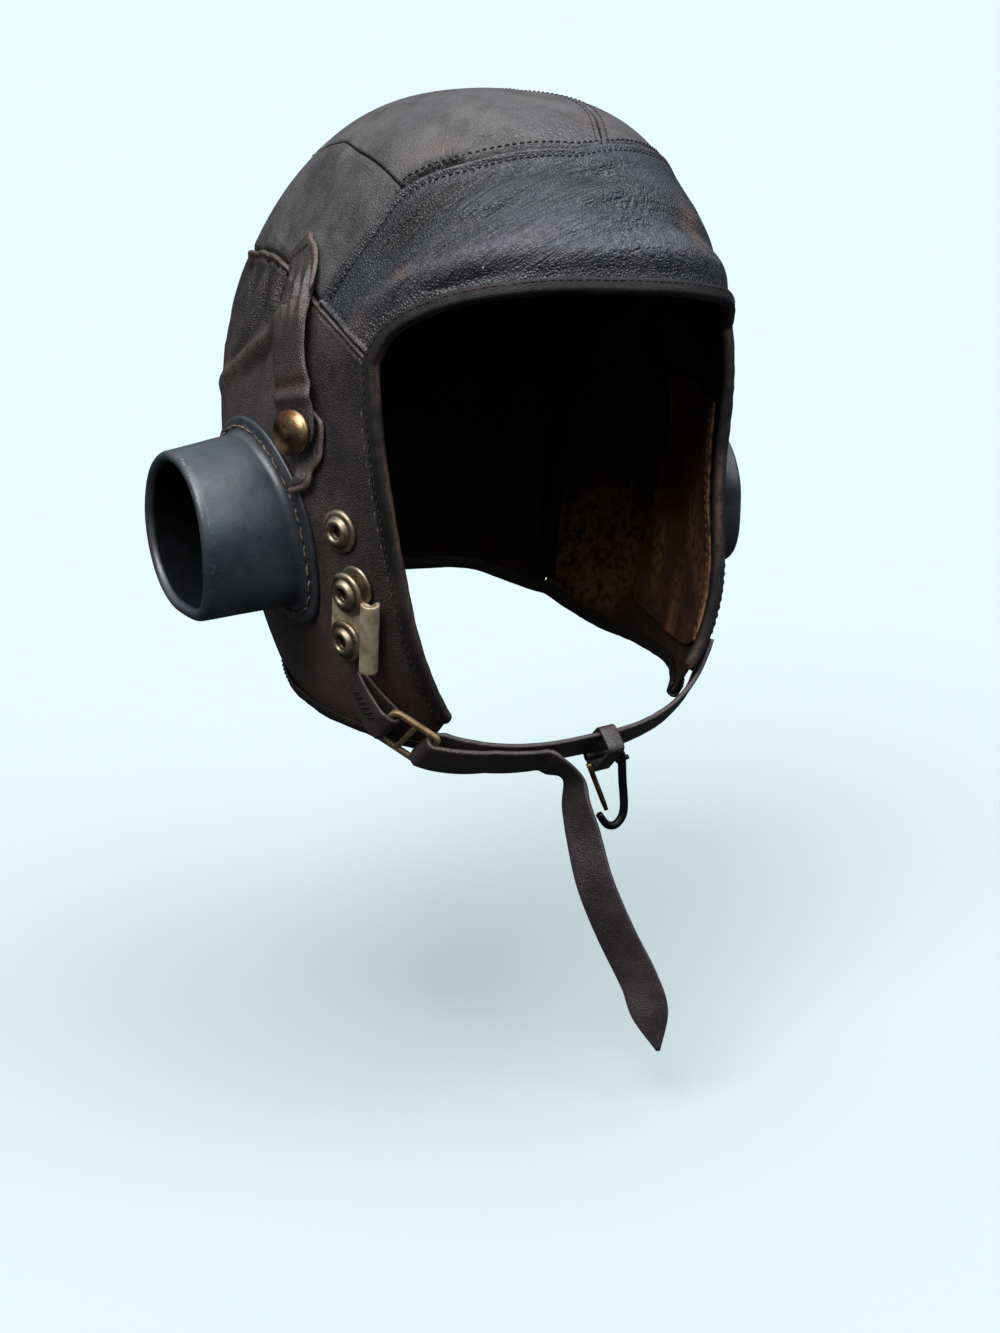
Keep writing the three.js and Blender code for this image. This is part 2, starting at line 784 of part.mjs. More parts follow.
function makeEars() {
  const leather = material(COLOURS.strap, 0.55, 0);
  for (const { name, side, own } of sides) {
    addPiece("ear_cup_" + name, cupGeometry(side, CUP_PLACES[name]), material(COLOURS.rubber, 0.5, 0));
    addPiece("ear_strap_" + name, band(own(EAR_STRAP.at), EAR_STRAP_SHAPE, 14, STRAP_THICKNESS), leather);
    addPiece("snap_tab_" + name, band(own(SNAP_TAB.at), SNAP_TAB_SHAPE, 6, STRAP_THICKNESS), leather);
    const cap = addPiece("snap_cap_" + name, turned(SNAP_CAP), material(COLOURS.brass, 0.35, 1));
    standOn(cap, side, SNAP_CAP_PLACE);
  }
  const nickel = material(COLOURS.nickel, 0.4, 1);
  STUD_PLACES.forEach((place, i) => {
    standOn(addPiece("press_stud_left_" + (i + 1), turned(PRESS_STUD), nickel), LEFT, place);
  });
  standOn(addPiece("press_stud_right_1", turned(PRESS_STUD), nickel), RIGHT, STUD_PLACES[0]);
  makeMaskHook(nickel);
}

// Mask hook: a folded plate under the two lower studs, its front edge rolled outward
const HOOK_PLATE = {
  lon: -59.4,
  lat: -27.2,
  tilt: 11,
  height: 1.4,
  thickness: 1.2,
  back: 7.8,
  flat: 12.9,
  roll: 3.2,
  rollTurn: 235,
  top: 11.4,
  foot: -14.4,
  studApart: 18.4,
};

function makeMaskHook(nickel) {
  const { tilt, thickness, back, flat, roll, rollTurn, top, foot, studApart } = HOOK_PLATE;
  const { point, normal, level, upward } = placeOn(HOOK_PLATE.lon, HOOK_PLATE.lat, HOOK_PLATE.height);
  const mount = new THREE.Group();
  mount.matrixAutoUpdate = false;
  mount.matrix.makeBasis(level, upward, normal).multiply(new THREE.Matrix4().makeRotationZ(-rad(tilt))).setPosition(point);
  helmet.add(mount);

  const shape = new THREE.Shape();
  const steps = 9;
  const arc = (r) => {
    const points = [];
    for (let i = 0; i <= steps; i += 1) {
      const turn = rad(-90 + (rollTurn * i) / steps);
      points.push(new THREE.Vector2(flat + r * cos(turn), roll + r * sin(turn)));
    }
    return points;
  };
  shape.setFromPoints([
    new THREE.Vector2(-back, 0),
    ...arc(roll),
    ...arc(roll - thickness).reverse(),
    new THREE.Vector2(-back, thickness),
  ]);
  const folded = new THREE.ExtrudeGeometry(shape, { depth: top - foot, bevelEnabled: false });
  const plate = new THREE.Mesh(folded, nickel);
  plate.name = "mask_hook_plate";
  plate.rotation.x = PI / 2;
  plate.position.y = top;
  mount.add(plate);
  for (const [number, y] of [[2, studApart / 2], [3, -studApart / 2]]) {
    const stud = new THREE.Mesh(turned(PRESS_STUD), nickel);
    stud.name = "press_stud_right_" + number;
    stud.rotation.x = PI / 2;
    stud.position.set(0, y, thickness + GAP);
    mount.add(stud);
  }
}

// Chin strap, its buckle and what hangs from it
const CHIN_LINE = lineThrough([
  { lon: -64, lat: -38.5 },
  { lon: -53, lat: -44.5 },
  { lon: -43, lat: -49.2 },
  { lon: -28, lat: -53 },
  { lon: 0, lat: -55.6 },
  { lon: 28, lat: -53.2 },
  { lon: 43, lat: -48.9 },
  { lon: 48, lat: -44.8 },
  { lon: 51.5, lat: -41 },
]);
const LAYER_GAP = 1.5;
const CHIN = { width: 14, thickness: 2, lift: 3.0, endAt: 4, dropAt: 7.6, bend: 4 };
const TAB = { width: 13.6, thickness: 1.4, startAt: 6 };
const BUCKLE = { at: 31, length: 20, inner: 15, bar: 2.2, thickness: 2, lift: 5.8, round: 1.2, clear: 0.6 };
const FOLD_TURNS = [-60, -30, 0, 30, 60];

// Points of the free end, from where it leaves the chin strap to its tip, and the way its face looks.
const TAIL = [
  { x: -3.4, y: -70, z: -228, look: -90, half: 7 },
  { x: -4.1, y: -73, z: -236, look: -78, half: 7 },
  { x: -3.6, y: -77, z: -246, look: -62, half: 7 },
  { x: -2.0, y: -83, z: -263, look: -50, half: 7 },
  { x: 3.9, y: -88, z: -282, look: -42, half: 7 },
  { x: 11.3, y: -93, z: -301, look: -38, half: 7 },
  { x: 14.0, y: -96, z: -313, look: -36, half: 6.6 },
  { x: 16.5, y: -98, z: -327, look: -36, half: 0.8 },
];

// A flat strap through frames: half its width along side and half its thickness along face.
function strap(rows, thickness) {
  const corners = [[-1, -1], [1, -1], [1, 1], [-1, 1]];
  const points = rows.flatMap(({ centre, side, face, half }) =>
    corners.map(([x, y]) => {
      const point = centre.clone().addScaledVector(side, x * half);
      return point.addScaledVector(face, (y * thickness) / 2);
    }),
  );
  const triangles = [];
  const last = (rows.length - 1) * corners.length;
  for (let i = 0; i < last; i += corners.length) {
    for (let j = 0; j < corners.length; j += 1) {
      const a = i + j;
      const b = i + ((j + 1) % corners.length);
      triangles.push([a, b, b + 4], [a, b + 4, a + 4]);
    }
  }
  triangles.push([0, 2, 1], [0, 3, 2], [last, last + 1, last + 2], [last, last + 2, last + 3]);
  return closedBody(points, triangles);
}

// Frames of a fold round a bar of the buckle: from below it, round its inner side and back above it.
function foldFrames(frame, shift, foldRadius, half) {
  const away = -Math.sign(shift);
  const middle = frame.centre.clone().addScaledVector(frame.along, shift);
  return FOLD_TURNS.map((angle) => {
    const face = frame.face.clone().multiplyScalar(sin(rad(angle)));
    face.addScaledVector(frame.along, away * cos(rad(angle)));
    return { centre: middle.clone().addScaledVector(face, foldRadius), side: frame.side, face, half };
  });
}

// Frames of a strap along the chin line between two places, both in millimetres from its start.
function stretchFrames(run, from, to, lift, half, steps) {
  const frames = [];
  for (let i = 0; i <= steps; i += 1) {
    const frame = frameOn(CHIN_LINE.at, mix(from, to, i / steps) / run, lift(i / steps));
    frames.push({ ...frame, half });
  }
  return frames;
}

const flipped = (frames) => frames.map((frame) => ({ ...frame, face: frame.face.clone().negate() }));

// Frames of the bend where the free end turns down from the strap, and of the free end itself.
function tailFrames(start) {
  const bend = [30, 60].map((angle) => {
    const [c, s] = [cos(rad(angle)), sin(rad(angle))];
    const centre = start.centre.clone().addScaledVector(start.along, CHIN.bend * s);
    centre.addScaledVector(start.face, CHIN.bend * (1 - c));
    const face = start.face.clone().multiplyScalar(c).addScaledVector(start.along, -s);
    return { centre, side: start.side, face, half: start.half };
  });
  const centres = TAIL.map(({ x, y, z }) => new THREE.Vector3(x, y, z));
  const hanging = TAIL.map(({ look, half }, i) => {
    const along = centres[min(TAIL.length - 1, i + 1)].clone().sub(centres[max(0, i - 1)]).normalize();
    const side = direction(look, 0).cross(along).normalize();
    return { centre: centres[i], side, face: along.cross(side), half };
  });
  return [...bend, ...hanging];
}

// A piece whose geometry is set in a frame: X along, Y across and Z off the form.
function setIn(mesh, { centre, side, face, along }) {
  mesh.matrixAutoUpdate = false;
  mesh.matrix.makeBasis(along, side, face).setPosition(centre);
}

// A rectangle with rounded corners, as points.
function roundedBox(left, low, right, high, round) {
  const points = [];
  for (const [x, y, turn] of [
    [right - round, low + round, -90],
    [right - round, high - round, 0],
    [left + round, high - round, 90],
    [left + round, low + round, 180],
  ]) {
    for (const share of [0, 30, 60, 90]) {
      const angle = rad(turn + share);
      points.push(new THREE.Vector2(x + round * cos(angle), y + round * sin(angle)));
    }
  }
  return points;
}

function makeChin() {
  const run = lineLength(CHIN_LINE.at);
  const leather = material(COLOURS.strap, 0.5, 0);
  const bars = BUCKLE.length / 2 - BUCKLE.bar / 2;
  const buckleFrame = frameOn(CHIN_LINE.at, BUCKLE.at / run, BUCKLE.lift);
  const half = CHIN.width / 2;
  const barReach = hypot(BUCKLE.bar, BUCKLE.thickness) / 2 + BUCKLE.clear;
  const strapFold = barReach + CHIN.thickness / 2;
  const foldAt = BUCKLE.at + bars + LAYER_GAP;
  const dropAt = run / 2 - CHIN.dropAt;
  const underLift = CHIN.lift + CHIN.thickness + 2 * GAP;

  const firstLift = (t) => mix(CHIN.lift, BUCKLE.lift - strapFold, t ** 3);
  const secondLift = (t) => mix(BUCKLE.lift + strapFold, underLift, min(1, t * 2));
  const first = stretchFrames(run, run - CHIN.endAt, foldAt, firstLift, half, 22);
  const fold = foldFrames(buckleFrame, bars, strapFold, half);
  const second = stretchFrames(run, foldAt, dropAt, secondLift, half, 8);
  const tail = tailFrames(second[second.length - 1]);
  addPiece("chin_strap", strap([...flipped(first), ...fold, ...second, ...tail], CHIN.thickness), leather);

  const tabHalf = TAB.width / 2;
  const tabFold = barReach + TAB.thickness / 2;
  const tabLow = TAB.thickness / 2 + 2 * GAP;
  const tabHigh = tabLow + TAB.thickness + 2 * GAP;
  const tabAt = BUCKLE.at - bars - LAYER_GAP;
  const underLiftOfTab = (t) => mix(tabLow, BUCKLE.lift - tabFold, t);
  const overLiftOfTab = (t) => mix(BUCKLE.lift + tabFold, tabHigh, t);
  const under = stretchFrames(run, TAB.startAt, tabAt, underLiftOfTab, tabHalf, 4);
  const turn = foldFrames(buckleFrame, -bars, tabFold, tabHalf);
  const over = stretchFrames(run, tabAt, TAB.startAt, overLiftOfTab, tabHalf, 4);
  addPiece("chin_tab", strap([...flipped(under), ...turn, ...over], TAB.thickness), leather);

  const [x, y] = [BUCKLE.length / 2, BUCKLE.inner / 2];
  const outline = new THREE.Shape(roundedBox(-x, -y - BUCKLE.bar, x, y + BUCKLE.bar, 2 * BUCKLE.round));
  const [near, far] = [BUCKLE.bar / 2, x - BUCKLE.bar];
  outline.holes.push(new THREE.Path(roundedBox(near, -y, far, y, BUCKLE.round)));
  outline.holes.push(new THREE.Path(roundedBox(-far, -y, -near, y, BUCKLE.round)));
  const buckle = new THREE.ExtrudeGeometry(outline, { depth: BUCKLE.thickness, bevelEnabled: false });
  buckle.translate(0, 0, -BUCKLE.thickness / 2);
  setIn(addPiece("buckle_frame", buckle, material(COLOURS.brass, 0.35, 1)), buckleFrame);
  makeHook();
}

// Spring hook on the chin strap: its top bar goes through a plain leather loop, and a thin gate closes it.
const HOOK = {
  lon: 6.6,
  lat: -55.6,
  lift: 7.6,
  wire: 1.6,
  sides: 8,
  loopInside: 15.2,
  loopWidth: 6.6,
  loopShift: 0.9,
  loopWall: 1.2,
  loopClear: 0.7,
  loopRound: 2,
};
const HOOK_PATH = [
  { x: -7, z: 0 },
  { x: 5.4, z: 0 },
  { x: 7.4, z: -1.4 },
  { x: 7.9, z: -3.6 },
  { x: 8.4, z: -12 },
  { x: 9.2, z: -21 },
  { x: 8.5, z: -25.6 },
  { x: 5.6, z: -28.4 },
  { x: 2.2, z: -27.6 },
  { x: -1.2, z: -23 },
];
const GATE = { wire: 1, lean: 22, from: 3, to: 23.4 };

// A round wire through points of the XZ plane.
function wire(path, radiusOfWire, sidesOfWire) {
  const section = [];
  for (let k = 0; k < sidesOfWire; k += 1) {
    const angle = (2 * PI * (k + 0.5)) / sidesOfWire;
    section.push([radiusOfWire * cos(angle), radiusOfWire * sin(angle)]);
  }
  const face = new THREE.Vector3(0, 1, 0);
  const frames = path.map(({ x, z }, i) => {
    const before = path[max(0, i - 1)];
    const after = path[min(path.length - 1, i + 1)];
    const along = new THREE.Vector3(after.x - before.x, 0, after.z - before.z).normalize();
    return { centre: new THREE.Vector3(x, 0, z), side: face.clone().cross(along), face };
  });
  return sweep(section, frames);
}

function makeHook() {
  const iron = material(COLOURS.iron, 0.4, 0.8);
  const { point } = placeOn(HOOK.lon, HOOK.lat, HOOK.lift);
  const hook = addPiece("spring_hook", wire(HOOK_PATH, HOOK.wire, HOOK.sides), iron);
  hook.position.copy(point);

  const lean = rad(GATE.lean);
  const ends = [GATE.from, GATE.to].map((r) => ({ x: r * sin(lean), z: -r * cos(lean) }));
  const gate = addPiece("hook_gate", wire(ends, GATE.wire, HOOK.sides), material(COLOURS.brass, 0.4, 1));
  gate.position.copy(point);
  gate.position.x += HOOK_PATH[0].x;

  const { loopWall, loopRound } = HOOK;
  const low = CHIN.lift - CHIN.thickness / 2 - 2 * GAP;
  const high = HOOK.lift + HOOK.wire + HOOK.loopClear;
  const inside = HOOK.loopInside / 2;
  const outside = inside + loopWall;
  const outline = new THREE.Shape(roundedBox(-outside, low - loopWall, outside, high + loopWall, loopRound));
  outline.holes.push(new THREE.Path(roundedBox(-inside, low, inside, high, loopRound - loopWall)));
  const loop = new THREE.ExtrudeGeometry(outline, { depth: HOOK.loopWidth, bevelEnabled: false });
  const { normal } = placeOn(HOOK.lon, HOOK.lat, 0);
  const along = new THREE.Vector3(1, 0, 0).addScaledVector(normal, -normal.x).normalize();
  const mesh = addPiece("hook_loop", loop, material(COLOURS.strap, 0.6, 0));
  mesh.matrixAutoUpdate = false;
  mesh.matrix.makeBasis(normal.clone().cross(along), normal, along);
  const { point: base } = placeOn(HOOK.lon, HOOK.lat, 0);
  mesh.matrix.setPosition(base.addScaledVector(along, HOOK.loopShift - HOOK.loopWidth / 2));
}

makeShell();
makeEdges();
makeEars();
makeChin();

export default helmet;
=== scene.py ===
# The looks of a leather flying helmet with ear cups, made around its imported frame.
# Shapes are worked out in millimetres and degrees, as in the part, and set down in metres.
import math
from types import SimpleNamespace

import bpy
import numpy as np
from mathutils import Matrix, Vector


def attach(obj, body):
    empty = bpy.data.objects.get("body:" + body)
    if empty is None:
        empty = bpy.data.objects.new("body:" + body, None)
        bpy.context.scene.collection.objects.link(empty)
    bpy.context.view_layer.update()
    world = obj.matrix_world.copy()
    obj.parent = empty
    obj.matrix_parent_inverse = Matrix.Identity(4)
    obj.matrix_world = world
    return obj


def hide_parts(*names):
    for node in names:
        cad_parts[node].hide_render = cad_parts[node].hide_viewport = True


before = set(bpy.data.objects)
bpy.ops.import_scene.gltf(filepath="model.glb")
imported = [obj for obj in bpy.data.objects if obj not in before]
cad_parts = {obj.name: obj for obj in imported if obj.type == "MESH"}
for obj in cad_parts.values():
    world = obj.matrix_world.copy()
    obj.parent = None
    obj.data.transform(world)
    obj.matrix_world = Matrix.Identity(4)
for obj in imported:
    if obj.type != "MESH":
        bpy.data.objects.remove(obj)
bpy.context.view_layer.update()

MM = 0.001
RIGHT, LEFT = -1, 1
SIDES = (("right", RIGHT), ("left", LEFT))

# Sizes that the part has too
LEATHER = 1.8
LINING = 1.0
GAP = 0.3
HEAD_RADIUS = 120
HEAD_CENTRE = np.array([0.0, 0.0, LEATHER - HEAD_RADIUS])
FOLD_RADIUS = 105

# Outer form: latitude, then radius in front, at the side and behind, and fullness.
FORM = [
    (90, 120, 120, 120, 2.0),
    (70, 122, 115, 121, 2.05),
    (50, 120, 101, 120, 2.15),
    (30, 111, 90, 117, 2.2),
    (12, 103, 83, 111, 2.25),
    (-5, 99, 81, 103, 2.3),
    (-22, 101, 84, 98, 2.3),
    (-40, 111, 98, 103, 2.2),
    (-58, 118, 124, 128, 2.1),
    (-75, 128, 150, 150, 2.0),
    (-90, 150, 150, 150, 2.0),
]
# Swellings on both sides: longitude, latitude, reach across and upward, height.
SWELLINGS = [
    (100, -6, 34, 26, 10),
    (64, 66, 20, 16, 3),
    (47, -30, 20, 18, 5),
    (124, 22, 12, 14, 3),
    (66, 12, 9, 22, -2),
]
# The left cheek is drawn in a little further.
LEFT_SWELLINGS = [(54, -13, 24, 29, -7)]
# Gathers over each ear: longitude at the top and the foot, width and depth.
GATHERS = [
    (88, 84, 2.6, 2.2),
    (97, 96, 2.4, 2.8),
    (105, 109, 2.4, 3.0),
    (113, 122, 2.6, 2.6),
    (122, 134, 2.8, 2.0),
]
GATHER_TOP, GATHER_FOOT = 44, 8
# How fast the gathers fade at the foot and grow at the top, and how deep they start
GATHER_FADE, GATHER_GROWTH, GATHER_START = 1.6, 8, 0.25
# Wrinkles along the brow: latitude, slope, width and depth.
BROW_WRINKLES = [(54, 0.1, 1.8, 1.0), (49, -0.08, 1.6, 1.3), (44, 0.06, 1.8, 1.1)]
# Where the wrinkles end below, how much they arch, and how far they reach sideways
BROW_LOW, WRINKLE_ARCH, WRINKLE_REACH = 37, 0.0035, 48

# Fineness of the meshes
CELL = 1.5
STITCH_PITCH = 2.4
EDGE_OFFSETS = np.array([0.15, 0.4, 0.8, 1.3, 1.9, 2.6, 3.4, 4.3])
BROW_CELL = 0.85
BAND_STEP = 0.7
# Steps, on the unit sphere and along a line, over which directions are measured
NORMAL_STEP, POLE_TILT, LINE_STEP = 0.01, 0.001, 0.002
NEAR_STEPS = 20
CAP_STEPS = 4
# Rings and sides of one stitch of thread
THREAD_RINGS, THREAD_SIDES = 5, 6


def mix(a, b, t):
    return a + (b - a) * t


def bell(x):
    return np.exp(-x * x)


def smooth(t):
    t = np.clip(t, 0, 1)
    return t * t * (3 - 2 * t)


def unit(v):
    return v / np.linalg.norm(v, axis=-1, keepdims=True)


def running(points):
    """The distance run along a line of points."""
    return np.concatenate([[0], np.cumsum(np.linalg.norm(np.diff(points, axis=0), axis=1))])


def direction(lon, lat):
    """Unit direction: longitude 0 is ahead, and the wearer's left is positive."""
    lon, lat = np.radians(lon), np.radians(lat)
    return np.stack([np.sin(lon) * np.cos(lat), -np.cos(lon) * np.cos(lat), np.sin(lat) + 0 * lon], -1)


def places_of(way):
    lat = np.degrees(np.arcsin(np.clip(way[..., 2], -1, 1)))
    lon = np.degrees(np.arctan2(way[..., 0], -way[..., 1]))
    return lon, lat


def read_table(table, place, level_ends=False):
    """The other columns of a table at places of its first column, on a smooth line."""
    table = np.asarray(table, float)
    key, values = table[:, 0], table[:, 1:]
    rising = np.sign(key[-1] - key[0])
    place = np.asarray(place, float)
    i = np.clip(np.searchsorted(rising * key, rising * place, side="right") - 1, 0, len(key) - 2)
    last = len(key) - 1
    before, after = np.maximum(np.arange(last + 1) - 1, 0), np.minimum(np.arange(last + 1) + 1, last)
    slopes = (values[after] - values[before]) / (key[after] - key[before])[:, None]
    if level_ends:
        slopes[[0, last]] = 0
    span = key[i + 1] - key[i]
    s = np.clip((place - key[i]) / span, 0, 1)[..., None]
    rise, fall = slopes[i] * span[..., None], slopes[i + 1] * span[..., None]
    curve = values[i] * (2 * s**3 - 3 * s**2 + 1) + values[i + 1] * (3 * s**2 - 2 * s**3)
    return curve + rise * (s**3 - 2 * s**2 + s) + fall * (s**3 - s**2)


def noise(x, y, seed):
    """Smooth noise from -1 to 1 over a plane, with one bump to each unit."""
    count = 64
    lattice = np.random.default_rng(seed).uniform(-1, 1, (count, count))
    i, j = np.floor(x).astype(int), np.floor(y).astype(int)
    s, t = smooth(x - i), smooth(y - j)

    def corner(a, b):
        return lattice[(i + a) % count, (j + b) % count]

    return mix(mix(corner(0, 0), corner(1, 0), s), mix(corner(0, 1), corner(1, 1), s), t)


def swelling(row, side, way):
    lon, lat, wide, high, out = row
    centre = direction(side * lon, lat)
    east = unit(np.cross([0, 0, 1], centre))
    north = np.cross(centre, east)
    across = np.degrees(np.arcsin(np.clip(way @ east, -1, 1))) / wide
    along = np.degrees(np.arcsin(np.clip(way @ north, -1, 1))) / high
    return np.where(way @ centre < 0, 0, out * np.exp(-across * across - along * along))


def gathers(lon, lat):
    drop = (GATHER_TOP - lat) / (GATHER_TOP - GATHER_FOOT)
    fade = np.minimum(1, (1 - drop) * GATHER_FADE) * np.minimum(1, drop * GATHER_GROWTH + GATHER_START)
    depth = 0
    for top, foot, width, deep in GATHERS:
        depth = depth + deep * bell((np.abs(lon) - mix(top, foot, drop)) / (width * (1 + np.maximum(drop, 0))))
    return np.where((drop < 0) | (drop > 1), 0, -fade * depth)


def brow_wrinkles(lon, lat):
    depth = 0
    for middle, slope, width, deep in BROW_WRINKLES:
        depth = depth + deep * bell((lat - middle - slope * lon + WRINKLE_ARCH * lon * lon) / width)
    return np.where(lat < BROW_LOW, 0, -bell(lon / WRINKLE_REACH) * depth)


def radius(way, creased=False):
    """Radius of the outer form. What lies over the leather follows it without its creases."""
    lon, lat = places_of(way)
    front, side, back, fullness = np.moveaxis(read_table(FORM, lat, True), -1, 0)
    level = np.maximum(np.hypot(way[..., 0], way[..., 1]), 1e-9)
    sideways = np.abs(way[..., 0]) / level / side
    ahead = np.abs(way[..., 1]) / level / np.where(way[..., 1] < 0, front, back)
    r = (sideways**fullness + ahead**fullness) ** (-1 / fullness)
    for row in SWELLINGS:
        r = r + swelling(row, RIGHT, way) + swelling(row, LEFT, way)
    for row in LEFT_SWELLINGS:
        r = r + swelling(row, LEFT, way)
    if creased:
        r = r + gathers(lon, lat) + brow_wrinkles(lon, lat)
    return r


def form_point(way, creased=False):
    return way * radius(way, creased)[..., None] + HEAD_CENTRE


def form_normal(way, creased=False):
    a = unit(np.stack([-way[..., 1], way[..., 0], np.full(way.shape[:-1], POLE_TILT)], -1))
    b = unit(np.cross(way, a))
    here = form_point(way, creased)
    along_a = form_point(unit(way + NORMAL_STEP * a), creased) - here
    along_b = form_point(unit(way + NORMAL_STEP * b), creased) - here
    normal = unit(np.cross(along_a, along_b))
    return np.where((normal * way).sum(-1, keepdims=True) < 0, -normal, normal)


def off_form(way, height):
    return form_point(way) + form_normal(way) * np.asarray(height, float)[..., None]


class Line:
    """A smooth line on the unit sphere through places given by longitude and latitude."""

    def __init__(self, *places):
        lon, lat = np.array(places, float).T
        ways = direction(lon, lat)
        run = running(ways)
        self.runs = run / run[-1]
        self.rows = np.column_stack([self.runs, ways])

    def at(self, t):
        return unit(read_table(self.rows, t))

    def stretch(self, first, last):
        return lambda t: self.at(mix(self.runs[first], self.runs[last], np.asarray(t, float)))


def reversed_line(line):
    return lambda t: line(1 - np.asarray(t, float))


def part(line, start, end):
    return lambda t: line(mix(start, end, np.asarray(t, float)))


def joined(first, second, share):
    def line(t):
        t = np.asarray(t, float)
        before = first(np.clip(t / share, 0, 1))
        after = second(np.clip((t - share) / (1 - share), 0, 1))
        return np.where((t < share)[..., None], before, after)

    return line


def mirrored(line):
    return lambda t: line(t) * np.array([-1.0, 1.0, 1.0])


def own(line, side):
    return line if side == RIGHT else mirrored(line)


def both_sides(line):
    """A line from the wearer's right to the middle, carried on to the left."""
    return joined(line, mirrored(reversed_line(line)), 0.5)


# Seams and edges of the wearer's right side
BROW_SEAM = Line((-74, 36), (-62, 48), (-53, 55.5), (-32, 59), (0, 60))
TEMPLE_SEAM = Line((-53, 25), (-63, 31), (-74, 36))
# The brow's lower edge hangs lower on the wearer's left
BROW_EDGE = Line(
    (-53, 25), (-49, 30.3), (-38, 34.2), (-20, 35.6), (0, 34.8), (20, 32.6), (38, 30), (49, 27), (53, 25)
)
CHEEK_EDGE = Line((-38, -45), (-44, -27), (-48, -8), (-51, 10), (-53, 25))
CHIN_END = Line((-38, -45), (-45, -52.5))
HEM = Line((-45, -52.5), (-66, -52), (-90, -52.5), (-112, -51.5), (-132, -47))
NAPE_HEM = Line((-132, -47), (-156, -43), (-180, -42))
EAR_SEAM = Line((-74, 36), (-88, 40.5), (-109, 42), (-132, 36))
NAPE_SEAM = Line((-132, 36), (-156, 29), (-180, 27))
SIDE_SEAM = Line((-53, 55.5), (-66, 60.5), (-86, 64), (-106, 65))
BACK_SEAM = Line((-106, 65), (-139, 57), (-180, 50))
EAR_BACK = Line((-132, -47), (-132, -5), (-132, 36))
MIDLINE = Line((10.4, 59.85), (30, 71), (90, 82), (163, 68), (180, 50))
NAPE_MIDLINE = Line((180, 27), (180, 50))
LINING_FRONT = Line((-46, -42), (-50, -27), (-54, -8), (-57, 8))
LINING_REAR = Line((-96, -46), (-96, -20), (-96, 8))
LINING_FOOT = Line((-46, -42), (-56, -46), (-96, -46))
LINING_HEAD = Line((-57, 8), (-76, 9), (-96, 8))
MIDDLE_SHARE = 0.545
CROWN_CORNER, CROWN_REAR_SHARE = 0.4, 0.6
TEMPLE_SHARE, OVER_EAR_SHARE, SIDE_SEAM_SHARE = 4 / 20, 10 / 18, 8 / 18
CHEEK_SHARE, SIDE_HEM_SHARE = 0.62, 0.66


def line_length(line):
    points = form_point(line(np.linspace(0, 1, 13)))
    return np.linalg.norm(np.diff(points, axis=0), axis=1).sum()


def frames_on(line, t, height):
    """Frames on the form along a line: centre, the side to its left, the face outward, and the way along."""
    way = line(t)
    face = form_normal(way)
    after, before = form_point(line(np.minimum(1, t + LINE_STEP))), form_point(line(np.maximum(0, t - LINE_STEP)))
    along = unit(after - before)
    side = unit(np.cross(face, along))
    centre = off_form(way, height)
    return SimpleNamespace(centre=centre, side=side, face=face, along=np.cross(side, face))


def near(way, line):
    """Distance from a line on the form, in millimetres, and the share of the line that is nearest."""
    ways = line(np.linspace(0, 1, NEAR_STEPS + 1))
    best, share = np.full(way.shape[:-1], 9.0), np.zeros(way.shape[:-1])
    for k, (start, end) in enumerate(zip(ways[:-1], ways[1:])):
        ahead = end - start
        t = np.clip((way - start) @ ahead / (ahead @ ahead), 0, 1)
        gap = np.linalg.norm(way - start - t[..., None] * ahead, axis=-1)
        closer = gap < best
        best, share = np.where(closer, gap, best), np.where(closer, (k + t) / NEAR_STEPS, share)
    return best * FOLD_RADIUS, share


def fold(way, line, width, height, ends=0.2):
    """A soft fold or furrow along a line, fading at its ends."""
    gap, share = near(way, line)
    return height * bell(gap / width) * smooth(share / ends) * smooth((1 - share) / ends)


def right_side(way):
    """The matching direction on the wearer's right."""
    return np.concatenate([-np.abs(way[..., :1]), way[..., 1:]], -1)


def place_on(lon, lat, height):
    way = direction(lon, lat)
    normal = form_normal(way)
    level = unit(np.cross([0, 0, 1], normal))
    upward = np.cross(normal, level)
    return SimpleNamespace(point=off_form(way, height), normal=normal, level=level, upward=upward)


# Meshes
def linked(name, data):
    """A new object of the scene."""
    made = bpy.data.objects.new(name, data)
    bpy.context.scene.collection.objects.link(made)
    return made


class Shape:
    """Points, faces and named values for each point, gathered for one mesh."""

    def __init__(self):
        self.points, self.faces, self.values, self.count = [], [], {}, 0

    def add(self, points, faces, **values):
        points = np.asarray(points, float).reshape(-1, 3)
        self.faces += [tuple(int(k) + self.count for k in f) for f in faces]
        for name in set(values) | set(self.values):
            kept = self.values.setdefault(name, [np.zeros(self.count)])
            kept.append(np.broadcast_to(np.asarray(values.get(name, 0.0), float).ravel(), (len(points),)))
        self.points.append(points)
        self.count += len(points)

    def build(self, name, material):
        mesh = bpy.data.meshes.new(name)
        points = np.concatenate(self.points) * MM
        mesh.from_pydata(points.tolist(), [], self.faces)
        mesh.materials.append(material)
        for key, parts in self.values.items():
            layer = mesh.attributes.new(key, "FLOAT", "POINT")
            layer.data.foreach_set("value", np.concatenate(parts).astype(np.float32))
        mesh.polygons.foreach_set("use_smooth", np.full(len(mesh.polygons), True))
        mesh.update()
        return linked(name, mesh)


def outward(points, faces):
    """The faces, turned round where the closed body would be inside out."""
    points = np.asarray(points, float).reshape(-1, 3)
    volume = 0
    for f in faces:
        a, b, c = points[f[0]], points[f[1]], points[f[2]]
        volume += a @ np.cross(b, c)
        if len(f) == 4:
            volume += a @ np.cross(c, points[f[3]])
    return [tuple(reversed(f)) for f in faces] if volume < 0 else list(faces)


